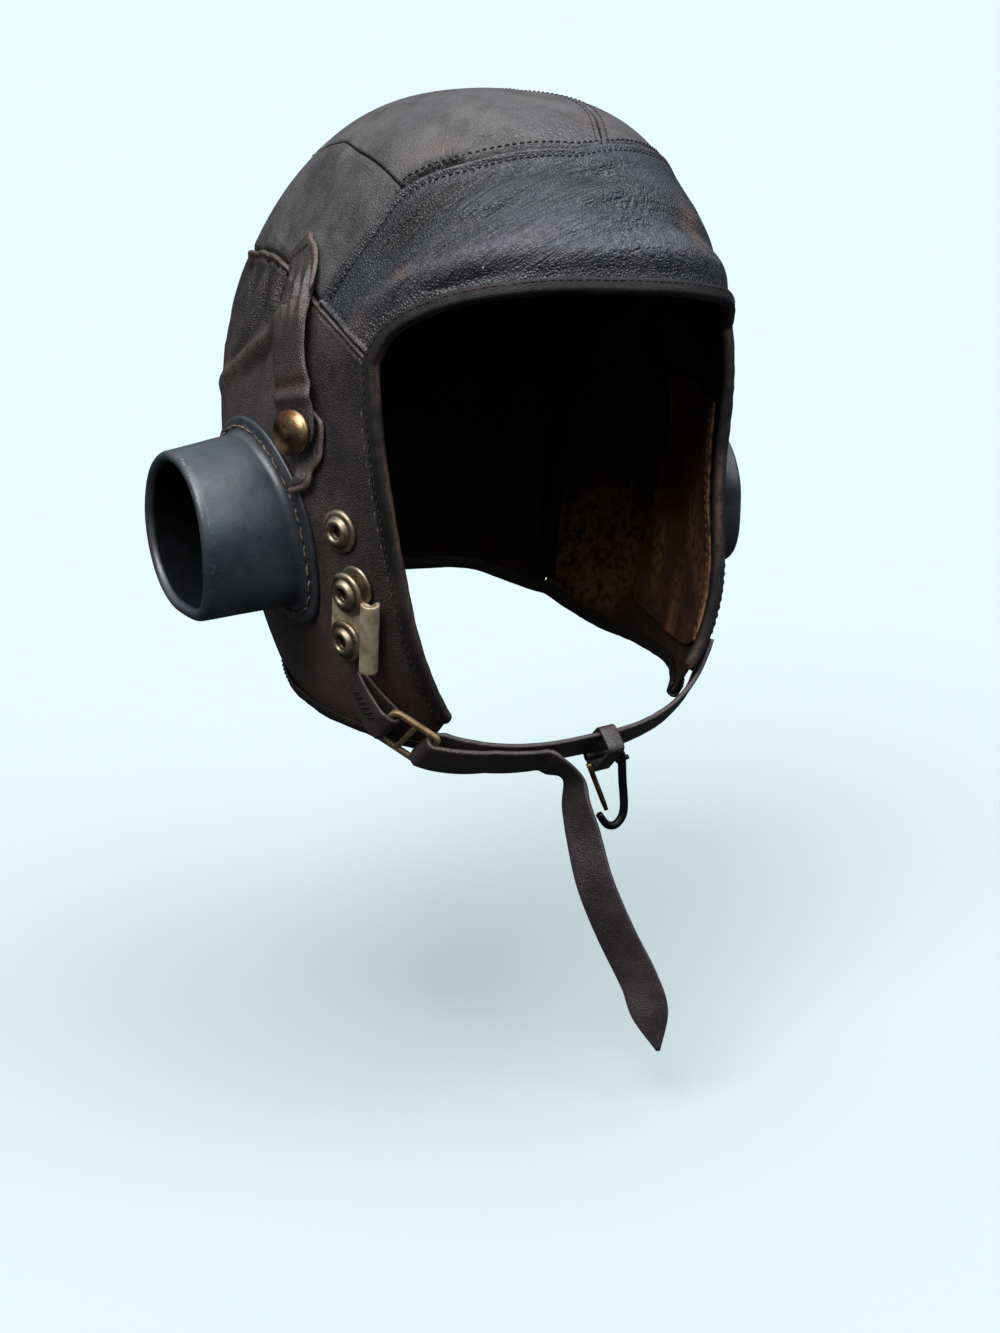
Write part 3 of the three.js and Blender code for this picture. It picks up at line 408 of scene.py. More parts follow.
def grid_faces(rows, columns, start=0, closed=False):
    """Quads of a grid of points, row by row. A closed grid joins its last column to its first."""
    wide = columns if closed else columns - 1
    i, j = np.meshgrid(np.arange(rows - 1), np.arange(wide), indexing="ij")
    a = start + i * columns + j
    b = start + i * columns + (j + 1) % columns
    return np.stack([a, b, b + columns, a + columns], -1).reshape(-1, 4)


def wall_faces(rows, columns):
    """Faces of a closed wall between two grids of points of the same size."""
    shift = rows * columns
    outer = grid_faces(rows, columns)
    inner = grid_faces(rows, columns, shift)[:, ::-1]
    index = np.arange(shift).reshape(rows, columns)
    rim = np.concatenate([index[0], index[1:, -1], index[-1, -2::-1], index[-2:0:-1, 0]])
    following = np.roll(rim, -1)
    band = np.stack([rim, rim + shift, following + shift, following], -1)
    return np.concatenate([outer, inner, band])


def add_wall(shape, outer, inner, **values):
    rows, columns = outer.shape[:2]
    points = np.concatenate([outer.reshape(-1, 3), inner.reshape(-1, 3)])
    doubled = {key: np.tile(np.broadcast_to(v, (rows, columns)).ravel(), 2) for key, v in values.items()}
    shape.add(points, outward(points, wall_faces(rows, columns)), **doubled)


def add_tube(shape, rings, closed=False, **values):
    """A body through rings of points, capped at its ends unless its last ring joins the first."""
    count, size = rings.shape[:2]
    faces = [tuple(f) for f in grid_faces(count, size, closed=True)]
    if closed:
        last = (count - 1) * size
        faces += [(last + k, last + (k + 1) % size, (k + 1) % size, k) for k in range(size)]
        made = faces
    else:
        cap = [tuple(range(size))[::-1], tuple((count - 1) * size + k for k in range(size))]
        made = faces + cap
    points = rings.reshape(-1, 3)
    sign = outward(points, faces)
    if sign[0] != faces[0]:
        made = [tuple(reversed(f)) for f in made]
    spread = {key: np.broadcast_to(v, (count, size)).ravel() for key, v in values.items()}
    shape.add(points, made, **spread)


def swept(section, frames):
    """Rings of a section, given along each frame's side and face."""
    x, y = np.asarray(section, float).T
    side, face = frames.side[:, None, :], frames.face[:, None, :]
    return frames.centre[:, None, :] + side * x[None, :, None] + face * y[None, :, None]


def rounded(corners, round_by, steps):
    """A closed outline with each corner rounded."""
    corners = np.asarray(corners, float)
    made = []
    for before, here, after in zip(np.roll(corners, 1, 0), corners, np.roll(corners, -1, 0)):
        to_before, to_after = before - here, after - here
        reach = min(round_by, 0.45 * np.linalg.norm(to_before), 0.45 * np.linalg.norm(to_after))
        a, b = here + unit(to_before) * reach, here + unit(to_after) * reach
        for t in np.linspace(0, 1, steps):
            made.append((1 - t) ** 2 * a + 2 * t * (1 - t) * here + t * t * b)
    return np.array(made)


def thick_line(path, thickness):
    """The closed outline of a line of a given thickness, with round ends."""
    path = np.asarray(path, float)
    along = unit(np.gradient(path, axis=0))
    across = np.stack([-along[:, 1], along[:, 0]], -1)
    half = thickness / 2
    turns = np.radians(np.linspace(90, -90, CAP_STEPS + 2))[1:-1, None]

    def cap(end, forward, left):
        return end + half * (np.cos(turns) * forward + np.sin(turns) * left)

    ahead = cap(path[-1], along[-1], across[-1])
    behind = cap(path[0], -along[0], -across[0])
    return np.concatenate([path + half * across, ahead, (path - half * across)[::-1], behind])


def box_outline(low, high, round_by, steps):
    """A rectangle between two corners, with its corners rounded."""
    corners = [low, (high[0], low[1]), high, (low[0], high[1])]
    return rounded(corners, round_by, steps)


def add_ring(shape, path, section, origin, across, upward, deep):
    """A closed ring of a section round a flat path, set down along three directions from an origin."""
    ahead = unit(np.roll(path, -1, 0) - np.roll(path, 1, 0))
    out = np.stack([ahead[:, 1], -ahead[:, 0]], -1)
    centre = origin + path[:, 0, None] * across + path[:, 1, None] * upward
    outer = out[:, 0, None] * across + out[:, 1, None] * upward
    rings = centre[:, None, :] + section[None, :, 0, None] * outer[:, None, :] + section[None, :, 1, None] * deep
    add_tube(shape, rings, closed=True)


# Materials
def paint(colour):
    """Linear colour of a hex colour."""
    values = [int(colour[k : k + 2], 16) / 255 for k in (1, 3, 5)]
    return tuple(v / 12.92 if v <= 0.04045 else ((v + 0.055) / 1.055) ** 2.4 for v in values) + (1.0,)


class Finish:
    """A material of its own nodes, over the object's own coordinates in metres."""

    def __init__(self, name, **sockets):
        self.material = bpy.data.materials.new(name)
        self.material.use_nodes = True
        tree = self.material.node_tree
        self.nodes, self.links = tree.nodes, tree.links
        self.shader = self.nodes["Principled BSDF"]
        self.place = self.nodes.new("ShaderNodeTexCoord").outputs["Object"]
        for key, value in sockets.items():
            self.shader.inputs[key.replace("_", " ")].default_value = value

    def feed(self, node, name, value):
        socket = node.inputs[name]
        if isinstance(value, bpy.types.NodeSocket):
            self.links.new(value, socket)
        else:
            socket.default_value = value

    def stretched(self, scale):
        node = self.nodes.new("ShaderNodeVectorMath")
        node.operation = "MULTIPLY"
        self.feed(node, 0, self.place)
        self.feed(node, 1, scale)
        return node.outputs[0]

    def noise(self, scale, detail, rough, warp=0.0, place=None):
        node = self.nodes.new("ShaderNodeTexNoise")
        self.feed(node, "Vector", place or self.place)
        for name, value in (("Scale", scale), ("Detail", detail), ("Roughness", rough), ("Distortion", warp)):
            node.inputs[name].default_value = value
        return node.outputs["Fac"]

    def cells(self, scale, warp):
        """Distance from the borders of cells that are bent by a little noise."""
        bent = self.nodes.new("ShaderNodeTexNoise")
        self.feed(bent, "Vector", self.place)
        bent.inputs["Scale"].default_value = scale * 0.6
        shift = self.nodes.new("ShaderNodeVectorMath")
        shift.operation = "MULTIPLY_ADD"
        self.feed(shift, 0, bent.outputs["Color"])
        self.feed(shift, 1, (warp / scale,) * 3)
        self.feed(shift, 2, self.place)
        node = self.nodes.new("ShaderNodeTexVoronoi")
        node.feature = "DISTANCE_TO_EDGE"
        self.feed(node, "Vector", shift.outputs[0])
        node.inputs["Scale"].default_value = scale
        return node.outputs["Distance"]

    def value_of(self, name):
        node = self.nodes.new("ShaderNodeAttribute")
        node.attribute_name = name
        return node.outputs["Fac"]

    def beside(self, first, second):
        """A place made of two of the mesh's own values."""
        node = self.nodes.new("ShaderNodeCombineXYZ")
        self.feed(node, "X", self.value_of(first))
        self.feed(node, "Y", self.value_of(second))
        return node.outputs[0]

    def ramp(self, value, low, high, start=0.0, end=1.0):
        node = self.nodes.new("ShaderNodeMapRange")
        node.interpolation_type = "SMOOTHSTEP"
        self.feed(node, "Value", value)
        for name, number in (("From Min", low), ("From Max", high), ("To Min", start), ("To Max", end)):
            node.inputs[name].default_value = number
        return node.outputs["Result"]

    def math(self, operation, a, b):
        node = self.nodes.new("ShaderNodeMath")
        node.operation = operation
        self.feed(node, 0, a)
        self.feed(node, 1, b)
        return node.outputs[0]

    def mix(self, share, a, b):
        node = self.nodes.new("ShaderNodeMix")
        node.data_type = "RGBA"
        self.feed(node, 0, share)
        self.feed(node, 6, a)
        self.feed(node, 7, b)
        return node.outputs[2]

    def bump(self, height, distance, strength=1.0, under=None):
        node = self.nodes.new("ShaderNodeBump")
        self.feed(node, "Height", height)
        node.inputs["Distance"].default_value = distance
        node.inputs["Strength"].default_value = strength
        if under:
            self.links.new(under, node.inputs["Normal"])
        return node.outputs["Normal"]

    def done(self, colour=None, roughness=None, normal=None):
        for name, value in (("Base Color", colour), ("Roughness", roughness), ("Normal", normal)):
            if value is not None:
                self.feed(self.shader, name, value)
        return self.material


# Colours that all the leathers share: brown stains, a near-black for dark blotches and for painted shade in
# furrows and seam gaps, and bare places
STAIN, DARK_AND_SHADE, BARE = "#3d322c", "#0c0b0c", "#5e4238"


def leather(name, base, tone, worn, roughness, grain, depth, shine):
    """Old dressed leather: patchy and pebbled, with painted shade in its furrows, folds and seam gaps, and bare
    or pale where it is rubbed.
    """
    f = Finish(name, Specular_IOR_Level=shine)
    patches = f.ramp(f.noise(28, 4, 0.6), 0.35, 0.68)
    colour = f.mix(patches, paint(base), paint(tone))
    mottle = f.ramp(f.noise(190, 5, 0.65), 0.38, 0.72, 0.0, 0.5)
    colour = f.mix(mottle, colour, paint(tone))
    tan = f.ramp(f.noise(21, 4, 0.65), 0.48, 0.68, 0.0, 0.5)
    colour = f.mix(tan, colour, paint(STAIN))
    blotch = f.ramp(f.noise(44, 6, 0.72), 0.42, 0.66, 0.0, 0.6)
    colour = f.mix(blotch, colour, paint(DARK_AND_SHADE))
    creases = f.cells(grain, 0.5)
    pits = f.ramp(creases, 0.0, 0.16, 0.42, 0.0)
    colour = f.mix(pits, colour, paint(DARK_AND_SHADE))
    scuff = f.math("MULTIPLY", f.value_of("scuff"), f.ramp(f.noise(420, 4, 0.7), 0.34, 0.6, 0.25, 1.0))
    colour = f.mix(scuff, colour, paint(BARE))
    rub = f.math("MULTIPLY", f.value_of("wear"), f.ramp(f.noise(330, 4, 0.7), 0.3, 0.62))
    colour = f.mix(rub, colour, paint(worn))
    speck = f.ramp(f.noise(760, 2, 0.5), 0.68, 0.76, 0.0, 0.3)
    colour = f.mix(speck, colour, paint(worn))
    # Painted shade: the shade value darkens the colour in seam gaps, furrows, folds and the brow's low band
    dark = f.math("MULTIPLY", f.value_of("shade"), 0.85)
    colour = f.mix(dark, colour, paint(DARK_AND_SHADE))
    crackle = f.value_of("crackle")
    gloss = f.ramp(f.noise(60, 4, 0.6), 0.3, 0.7, roughness - 0.07, roughness + 0.09)
    gloss = f.math("ADD", gloss, f.math("MULTIPLY", rub, 0.12))
    gloss = f.math("SUBTRACT", gloss, f.math("MULTIPLY", crackle, 0.12))
    gloss = f.math("SUBTRACT", gloss, f.math("MULTIPLY", dark, 0.1))
    fine = f.bump(f.noise(2600, 2, 0.6), 0.00004)
    folds = f.bump(f.noise(240, 3, 0.5, 0.4), 0.0003, 0.5, fine)
    pebbles = f.bump(f.ramp(creases, 0.0, 0.35), depth, 1.0, folds)
    cracks = f.math("MULTIPLY", f.ramp(f.cells(grain * 0.42, 0.9), 0.0, 0.3), crackle)
    broken = f.bump(cracks, 0.0004, 0.8, pebbles)
    wrinkle = f.noise(1.0, 4, 0.6, 0.3, f.beside("run", "rise"))
    lines = f.bump(f.math("MULTIPLY", wrinkle, f.value_of("lined")), 0.0017, 1.0, broken)
    return f.done(colour, gloss, lines)


def rubber(name):
    """Aged black rubber with a bluish bloom, scratches and pale nicks, and painted shade that blackens the inside
    of the cup and its groove.
    """
    f = Finish(name, Specular_IOR_Level=0.85)
    bloom = f.ramp(f.noise(35, 5, 0.62), 0.35, 0.7)
    colour = f.mix(bloom, paint("#212428"), paint("#393e46"))
    nick = f.math("MULTIPLY", f.value_of("wear"), f.ramp(f.noise(700, 3, 0.6), 0.6, 0.66, 0.0, 0.6))
    colour = f.mix(nick, colour, paint("#6f7780"))
    scratch = f.ramp(f.noise(60, 2, 0.5, 0.0, f.stretched((0.35, 4.0, 22.0))), 0.66, 0.7, 0.0, 0.25)
    colour = f.mix(scratch, colour, paint("#48525c"))
    # Painted shade inside the cup and along its groove
    colour = f.mix(f.math("MULTIPLY", f.value_of("hollow"), 0.85), colour, paint("#050506"))
    pits = f.ramp(f.noise(520, 3, 0.6), 0.66, 0.72, 0.0, 0.7)
    colour = f.mix(pits, colour, paint("#0d0f12"))
    gloss = f.ramp(f.noise(90, 4, 0.6), 0.3, 0.7, 0.33, 0.46)
    fine = f.bump(f.noise(1500, 3, 0.6), 0.00005)
    return f.done(colour, gloss, f.bump(f.noise(110, 4, 0.5), 0.00035, 0.6, fine))


def painted_shade_rubber(name):
    """Near-black rubber deep inside a cup, its colour painted shade."""
    f = Finish(name, Roughness=0.9, Specular_IOR_Level=0.12)
    dust = f.ramp(f.noise(240, 4, 0.6), 0.4, 0.7)
    colour = f.mix(dust, paint("#060709"), paint("#0d0f13"))
    return f.done(colour, None, f.bump(f.noise(900, 3, 0.6), 0.00008))


def metal(name, base, tarnish, dark, roughness, bright=1.0):
    """Old plated metal with patchy tarnish, darker in its recesses and pitted."""
    f = Finish(name, Metallic=bright)
    stain = f.ramp(f.noise(170, 5, 0.62), 0.36, 0.66)
    colour = f.mix(stain, paint(base), paint(tarnish))
    hollow = f.math("MULTIPLY", f.value_of("hollow"), 0.92)
    colour = f.mix(hollow, colour, paint(dark))
    pits = f.ramp(f.noise(1500, 3, 0.6), 0.66, 0.74, 0.0, 0.7)
    colour = f.mix(pits, colour, paint(dark))
    gloss = f.ramp(f.noise(240, 4, 0.6), 0.3, 0.7, roughness - 0.06, roughness + 0.16)
    fine = f.bump(f.noise(900, 4, 0.6), 0.00006)
    return f.done(colour, gloss, f.bump(pits, 0.00005, 0.6, fine))


def thread(name, colour, dark):
    """Twisted sewing thread."""
    f = Finish(name, Roughness=0.75)
    shade = f.ramp(f.noise(600, 3, 0.6), 0.35, 0.65)
    normal = f.bump(f.noise(3500, 2, 0.5), 0.00008)
    return f.done(f.mix(shade, paint(colour), paint(dark)), None, normal)


def suede(name, base, tone):
    """Brushed leather with a soft nap and rubbed patches."""
    f = Finish(name, Roughness=0.92, Specular_IOR_Level=0.2)
    patches = f.ramp(f.noise(55, 5, 0.65), 0.35, 0.68)
    colour = f.mix(patches, paint(base), paint(tone))
    fleck = f.ramp(f.noise(900, 3, 0.6), 0.35, 0.7, 0.0, 0.5)
    colour = f.mix(fleck, colour, paint("#1c120d"))
    rub = f.math("MULTIPLY", f.value_of("wear"), f.ramp(f.noise(300, 3, 0.6), 0.35, 0.6))
    colour = f.mix(rub, colour, paint("#a07552"))
    fine = f.bump(f.noise(2400, 3, 0.7), 0.00015)
    return f.done(colour, None, f.bump(f.noise(320, 3, 0.6), 0.0004, 0.6, fine))


FINISHES = {
    "crown": leather("crown_leather", "#413f3f", "#585554", "#857a76", 0.48, 1000, 0.00012, 0.65),
    "brow": leather("brow_leather", "#1c1e23", "#2a2e36", "#77737a", 0.4, 850, 0.00018, 0.7),
    "ear": leather("ear_leather", "#302a2b", "#413839", "#75655d", 0.48, 950, 0.00012, 0.6),
    "binding": leather("binding_leather", "#121011", "#1b1718", "#5e4236", 0.5, 1300, 0.00006, 0.35),
    "strap": leather("strap_leather", "#302929", "#413738", "#64504a", 0.46, 1100, 0.0001, 0.65),
    "chamois": suede("chamois_suede", "#3a2417", "#553624"),
    "inside": suede("inside_suede", "#231a16", "#30241e"),
    # Near-black suede of the seam allowances: painted shade in the seams' gaps
    "shadow": suede("seam_shade_suede", "#0e0b0a", "#171210"),
    "rubber": rubber("cup_rubber"),
    "hollow": painted_shade_rubber("cup_hollow_shade"),
    "brass": metal("old_brass", "#9a7c50", "#6f5436", "#1d140c", 0.34),
    "buckle": metal("buckle_brass", "#a08a68", "#7a6246", "#2a2018", 0.5, 0.7),
    "cap": metal("cap_brass", "#b3946a", "#6e4734", "#2a1a12", 0.22),
    "nickel": metal("old_nickel", "#b0a38e", "#85765f", "#15100c", 0.42),
    "plate": metal("plate_nickel", "#c4b497", "#968467", "#2a241c", 0.55, 0.55),
    "iron": metal("dark_iron", "#2a2624", "#171517", "#090808", 0.36, 0.8),
    "dark_thread": thread("dark_thread", "#1a1716", "#0d0c0c"),
    "pale_thread": thread("pale_thread", "#6f6764", "#464140"),
    "fleck": thread("pale_fleck", "#d8d4cc", "#a8a298"),
    "tan_thread": thread("tan_thread", "#8a6a4a", "#4f3a28"),
    "cup_thread": thread("cup_thread", "#86705a", "#2f261f"),
    "red_thread": thread("red_thread", "#55382a", "#2e1f18"),
}


def keep(made, slot, *nodes, body="helmet"):
    """Sets a piece on its body, in place of the part's nodes; the slot is not used."""
    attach(made, body)
    if nodes:
        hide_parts(*nodes)


def put(shape, name, finish, slot, *nodes, body="helmet"):
    """Builds a shape as a piece with its finish, and sets it on its body."""
    keep(shape.build(name, FINISHES[finish]), slot, *nodes, body=body)


def second_finish(made, finish, faces):
    """Gives the marked faces of a piece another finish."""
    made.data.materials.append(FINISHES[finish])
    made.data.polygons.foreach_set("material_index", np.asarray(faces, np.int32))


# Leather panels
class Panel:
    """A stretch of the form between four lines: foot and head run from front to back, front and rear up."""

    def __init__(self, foot, head, front, rear):
        self.foot, self.head, self.front, self.rear = foot, head, front, rear
        ends = np.array([0.0, 1.0])
        self.corners = [*foot(ends), *head(ends)]
        rough, fine = np.linspace(0, 1, 25), np.linspace(0, 1, 13)
        self.rough = rough
        self.widths = self.lengths(fine[None, :] + 0 * rough[:, None], rough[:, None] + 0 * fine[None, :])
        self.heights = self.lengths(rough[:, None] + 0 * fine[None, :], fine[None, :] + 0 * rough[:, None])

    def lengths(self, u, v):
        points = form_point(self.way(u, v))
        return np.linalg.norm(np.diff(points, axis=1), axis=2).sum(1)

    def way(self, u, v):
        a, b, c, d = self.corners
        u1, v1 = u[..., None], v[..., None]
        way = self.foot(u) * (1 - v1) + self.head(u) * v1 + self.front(v) * (1 - u1) + self.rear(v) * u1
        way = way - a * (1 - u1) * (1 - v1) - b * u1 * (1 - v1) - c * (1 - u1) * v1 - d * u1 * v1
        return unit(way)

    def place(self, u, v):
        """Where a point lies: its direction, longitude and latitude, and its distances to the four sides."""
        way = self.way(u, v)
        lon, lat = places_of(way)
        width = np.interp(v, self.rough, self.widths)
        height = np.interp(u, self.rough, self.heights)
        ends = {"front": u * width, "rear": (1 - u) * width, "foot": v * height, "head": (1 - v) * height}
        return SimpleNamespace(way=way, lon=lon, lat=lat, **ends)

    def grid(self, cell):
        """Shares of the panel for a grid of points, close together near its edges."""
        edge = EDGE_OFFSETS[-1]

        def spread(lengths):
            count = max(4, round(float(lengths.max()) / cell))
            inner = np.linspace(0, 1, count + 1)[None, :]
            share = edge / lengths[:, None]
            middle = share + (1 - 2 * share) * inner
            close = EDGE_OFFSETS[None, :-1] / lengths[:, None]
            return np.concatenate([close, middle, (1 - close)[:, ::-1]], 1)

        across, upward = spread(self.widths), spread(self.heights)
        columns, rows = across.shape[1], upward.shape[1]
        v0 = np.linspace(0, 1, rows)
        u = np.stack([np.interp(v0, self.rough, across[:, k]) for k in range(columns)], 1)
        v = np.zeros_like(u)
        for _ in range(2):
            for i in range(rows):
                v[i] = np.interp(u[i], self.rough, upward[:, i])
            for i in range(rows):
                u[i] = [np.interp(v[i, k], self.rough, across[:, k]) for k in range(columns)]
        return u, v


# How far each kind of edge is rubbed pale
EDGE_WEAR = {"over": 0.2, "lapped": 0.38, "under": 0, "turned": 0.1, "closed": 0, "bound": 0, "none": 0}
# Painted shade in the seam's gap at each kind of edge: how dark it is at the edge itself, and over what distance
EDGE_SHADE = {
    "over": (0.7, 0.8),
    "lapped": (0.8, 0.7),
    "under": (1.0, 1.8),
    "turned": (1.0, 2.3),
    "closed": (1.0, 0.8),
}


def edge_height(distance, kind, along):
    """Height that an edge of a panel adds: rolled down into a seam, lapped over it, or held in a binding."""
    if kind == "over":
        row = -0.35 * bell((distance - 3.2) / 0.8) * (1 + 0.5 * np.cos(2 * np.pi * along / STITCH_PITCH))
        return 0.8 * bell((distance - 1.5) / 1.2) - 0.7 * bell(distance / 0.6) + row
    if kind == "lapped":
        row = -0.4 * bell((distance - 3.0) / 0.7) * (1 + 0.5 * np.cos(2 * np.pi * along / STITCH_PITCH))
        crumple = 1 + 0.5 * noise(along / 2.4, distance / 6, 11)
        ridge = 0.9 * bell((distance - 1.3) / 1.2) * crumple
        return ridge - 0.4 * bell(distance / 0.4) + row + 0.3 * bell((distance - 4.6) / 1) * crumple
    if kind == "under":
        return -0.95 * bell(distance / 1.6)
    if kind == "turned":
        return -1.7 * bell(distance / 1.8) + 0.35 * bell((distance - 3.6) / 1.2)
    if kind == "closed":
        return -0.6 * bell(distance / 0.5)
    if kind == "bound":
        return -0.2 * bell(distance / 4)
    return 0 * distance


def panel_surface(panel, kinds, relief, u, v):
    """Outer points, normals, the panel's own relief and the place of each point."""
    place = panel.place(u, v)
    body = relief(place)
    edges = 0
    for side, along in (("foot", "front"), ("head", "front"), ("front", "foot"), ("rear", "foot")):
        edges = edges + edge_height(getattr(place, side), kinds[side], getattr(place, along))
    base, normal = form_point(place.way, True), form_normal(place.way, True)
    return base + normal * (body + edges)[..., None], normal, body, place


def edge_wear(place, kinds, body):
    wear = 0 * body
    for side, kind in kinds.items():
        wear = np.maximum(wear, EDGE_WEAR[kind] * bell((getattr(place, side) - 0.9) / 1.2))
    return np.maximum(wear, np.clip(body * 0.2, 0, 0.25))


def edge_shade(place, kinds):
    shade = 0 * place.foot
    for side, kind in kinds.items():
        strength, reach = EDGE_SHADE.get(kind, (0, 1))
        shade = np.maximum(shade, strength * bell(getattr(place, side) / reach))
    return shade


def panel_piece(name, node, panel, kinds, finish, slot, relief, tones, thickness=LEATHER, sink=0.0, cell=CELL):
    """A panel's wall. Its inner face is plain suede, unless the whole of it is chamois."""
    u, v = panel.grid(cell)
    outer, normal, body, place = panel_surface(panel, kinds, relief, u, v)
    outer = outer - normal * sink
    inner = form_point(place.way, True) + normal * (body - sink - thickness)[..., None]
    values = {"wear": 0 * body, "shade": 0 * body, **tones(place, body)}
    values["wear"] = np.maximum(values["wear"], edge_wear(place, kinds, body))
    values["shade"] = np.maximum(values["shade"], edge_shade(place, kinds))
    shape = Shape()
    add_wall(shape, outer, inner, **values)
    made = shape.build(name, FINISHES[finish])
    if finish != "chamois":
        rows, columns = u.shape
        count = (rows - 1) * (columns - 1)
        second_finish(made, "inside", np.arange(len(made.data.polygons)) // count == 1)
    keep(made, slot, node)


def leather_piece(node, panel, kinds, kind, relief, tones, cell=CELL):
    """A panel of the shell in the brow's, the crown's or the ears' leather."""
    name = node.removesuffix("_panel") + "_leather"
    panel_piece(name, node, panel, kinds, kind, f"{kind}_leather", relief, tones, cell=cell)


def stitches(shape, points, normals, pitch=STITCH_PITCH, share=0.74, thick=0.5, lift=0.12):
    """Thread dashes along a line of points."""
    run = running(points)
    count = int(run[-1] / pitch)
    if count < 1:
        return
    starts = (np.arange(count) + 0.5) * run[-1] / count
    half = pitch * share / 2
    steps = np.linspace(-1, 1, THREAD_RINGS)
    s = starts[:, None] + half * steps[None, :]
    centre = np.stack([np.interp(s, run, points[:, k]) for k in range(3)], -1)
    face = unit(np.stack([np.interp(s, run, normals[:, k]) for k in range(3)], -1))
    along = unit(np.gradient(centre, axis=1))
    side = np.cross(face, along)
    rise = lift + thick * 0.25 - (lift + thick * 0.6) * np.abs(steps) ** 3
    centre = centre + face * rise[None, :, None]
    size = thick / 2 * (1 - 0.35 * np.abs(steps) ** 3)
    turns = np.radians(np.arange(THREAD_SIDES) * 360 / THREAD_SIDES)[None, None, :, None]
    ring = np.cos(turns) * side[:, :, None, :] + np.sin(turns) * face[:, :, None, :]
    rings = centre[:, :, None, :] + ring * size[None, :, None, None]
    points_each = THREAD_RINGS * THREAD_SIDES
    ends = [tuple(range(THREAD_SIDES))[::-1], tuple(range(points_each - THREAD_SIDES, points_each))]
    one = outward(rings[0], [tuple(f) for f in grid_faces(THREAD_RINGS, THREAD_SIDES, closed=True)] + ends)
    shape.add(rings, [tuple(k + n * points_each for k in f) for n in range(len(rings)) for f in one])


def seam_stitches(shape, panel, kinds, relief, side, distance, start, end, **thread_values):
    """A row of stitches on a panel at a distance from one of its sides."""
    t = np.linspace(start, end, 220)
    if side in ("foot", "head"):
        share = distance / np.interp(t, panel.rough, panel.heights)
        u, v = t, share if side == "foot" else 1 - share
    else:
        share = distance / np.interp(t, panel.rough, panel.widths)
        u, v = (share if side == "front" else 1 - share), t
    points, normals, _, _ = panel_surface(panel, kinds, relief, u, v)
    stitches(shape, points, normals, **thread_values)


STRIP = SimpleNamespace(half=4.0, half_thickness=0.3, below=0.55, spacing=3, short_start=0.03)


def seam_strip(shape, line, start=0.0):
    """The seam allowance that closes a seam from inside, in near-black suede that paints the shade in the seam's
    gap.
    """
    t = np.linspace(start, 1, max(8, int(line_length(part(line, start, 1.0)) / STRIP.spacing)))
    frames = frames_on(line, t, -LEATHER - STRIP.below)
    wide, thin = STRIP.half, STRIP.half_thickness
    add_tube(shape, swept([(-wide, -thin), (wide, -thin), (wide, thin), (-wide, thin)], frames))


def spots(way, table):
    """Soft spots on the form: longitude, latitude, reach across and upward, strength."""
    total = 0
    for lon, lat, wide, high, strength in table:
        total = total + np.clip(swelling((lon, lat, wide, high, strength), 1, way), 0, 1)
    return np.clip(total, 0, 1)


BROW_SCUFFS = [
    (-48, 40.4, 1.6, 1.3, 0.7),
    (28, 45, 3, 3.6, 0.7),
    (27, 41, 2.4, 2.4, 0.6),
    (-58, 31, 3, 3, 0.5),
    (-20, 44, 2, 1.5, 0.25),
]
BROW_FOLDS = [
    (Line((-60, 41), (-50, 47.8), (-38, 53.2), (-19, 56.2), (0, 55.4), (14, 52)), 4.6, -2.2),
    (Line((-46, 37), (-35, 41.3), (-21, 43.4), (-7, 45.2), (13, 43.2), (30, 38)), 4.2, 0.9),
    (Line((-9.5, 46.1), (-2.4, 46.2), (3.8, 45.5), (12, 44)), 0.9, -0.55),
    (Line((18, 45), (23.4, 42.6), (26.6, 40.7), (33, 37)), 0.9, -0.6),
    (Line((-52, 36), (-44, 42), (-36, 47), (-26, 50)), 3.2, 0.6),
]
BROW_LADDER = Line((11, 54), (6.3, 49.2), (4.1, 45), (2.9, 41), (3.4, 38.1))
# Where the brow bulges before it turns in under the binding
BROW_ROLL = SimpleNamespace(height=2.3, at=13, width=5.2, reach=75)
BROW_ARCH = SimpleNamespace(slope=0.62, middle=15, bend=24, reach=110)


def brow_lines(p):
    """Distance along the brow, and height over arched lines that its wrinkles follow."""
    a = BROW_ARCH
    along = p.way[..., 0] * a.reach
    return along, p.foot + a.slope * np.sqrt((along - a.middle) ** 2 + a.bend**2)


def brow_relief(p):
    """Soft folds that arch over the brow, with finer wrinkles along them."""
    along, rise = brow_lines(p)
    edge = np.clip((p.foot - 7) / 6, 0, 1) * np.clip((p.head - 4) / 5, 0, 1)
    near_side = bell((along + 52) / 38)
    soft = 0.6 * noise(along / 30, rise / 6.5, 3) * mix(0.5, 1, near_side)
    fine = 0.32 * noise(along / 15, rise / 2.3, 5) * mix(0.35, 1, near_side)
    finer = 0.1 * noise(along / 8, rise / 1.5, 8)
    gap, share = near(p.way, BROW_LADDER.at)
    rungs = -0.42 * bell(gap / 3.2) * np.clip(np.sin(2 * np.pi * share * 21 + 0.5 * gap), 0, 1) ** 2
    height = (soft + fine + finer) * edge + rungs * bell((share - 0.5) / 0.6)
    for line, width, deep in BROW_FOLDS:
        height = height + fold(p.way, line.at, width, deep)
    roll = BROW_ROLL
    return height + roll.height * bell((p.foot - roll.at) / roll.width) * bell(along / roll.reach)


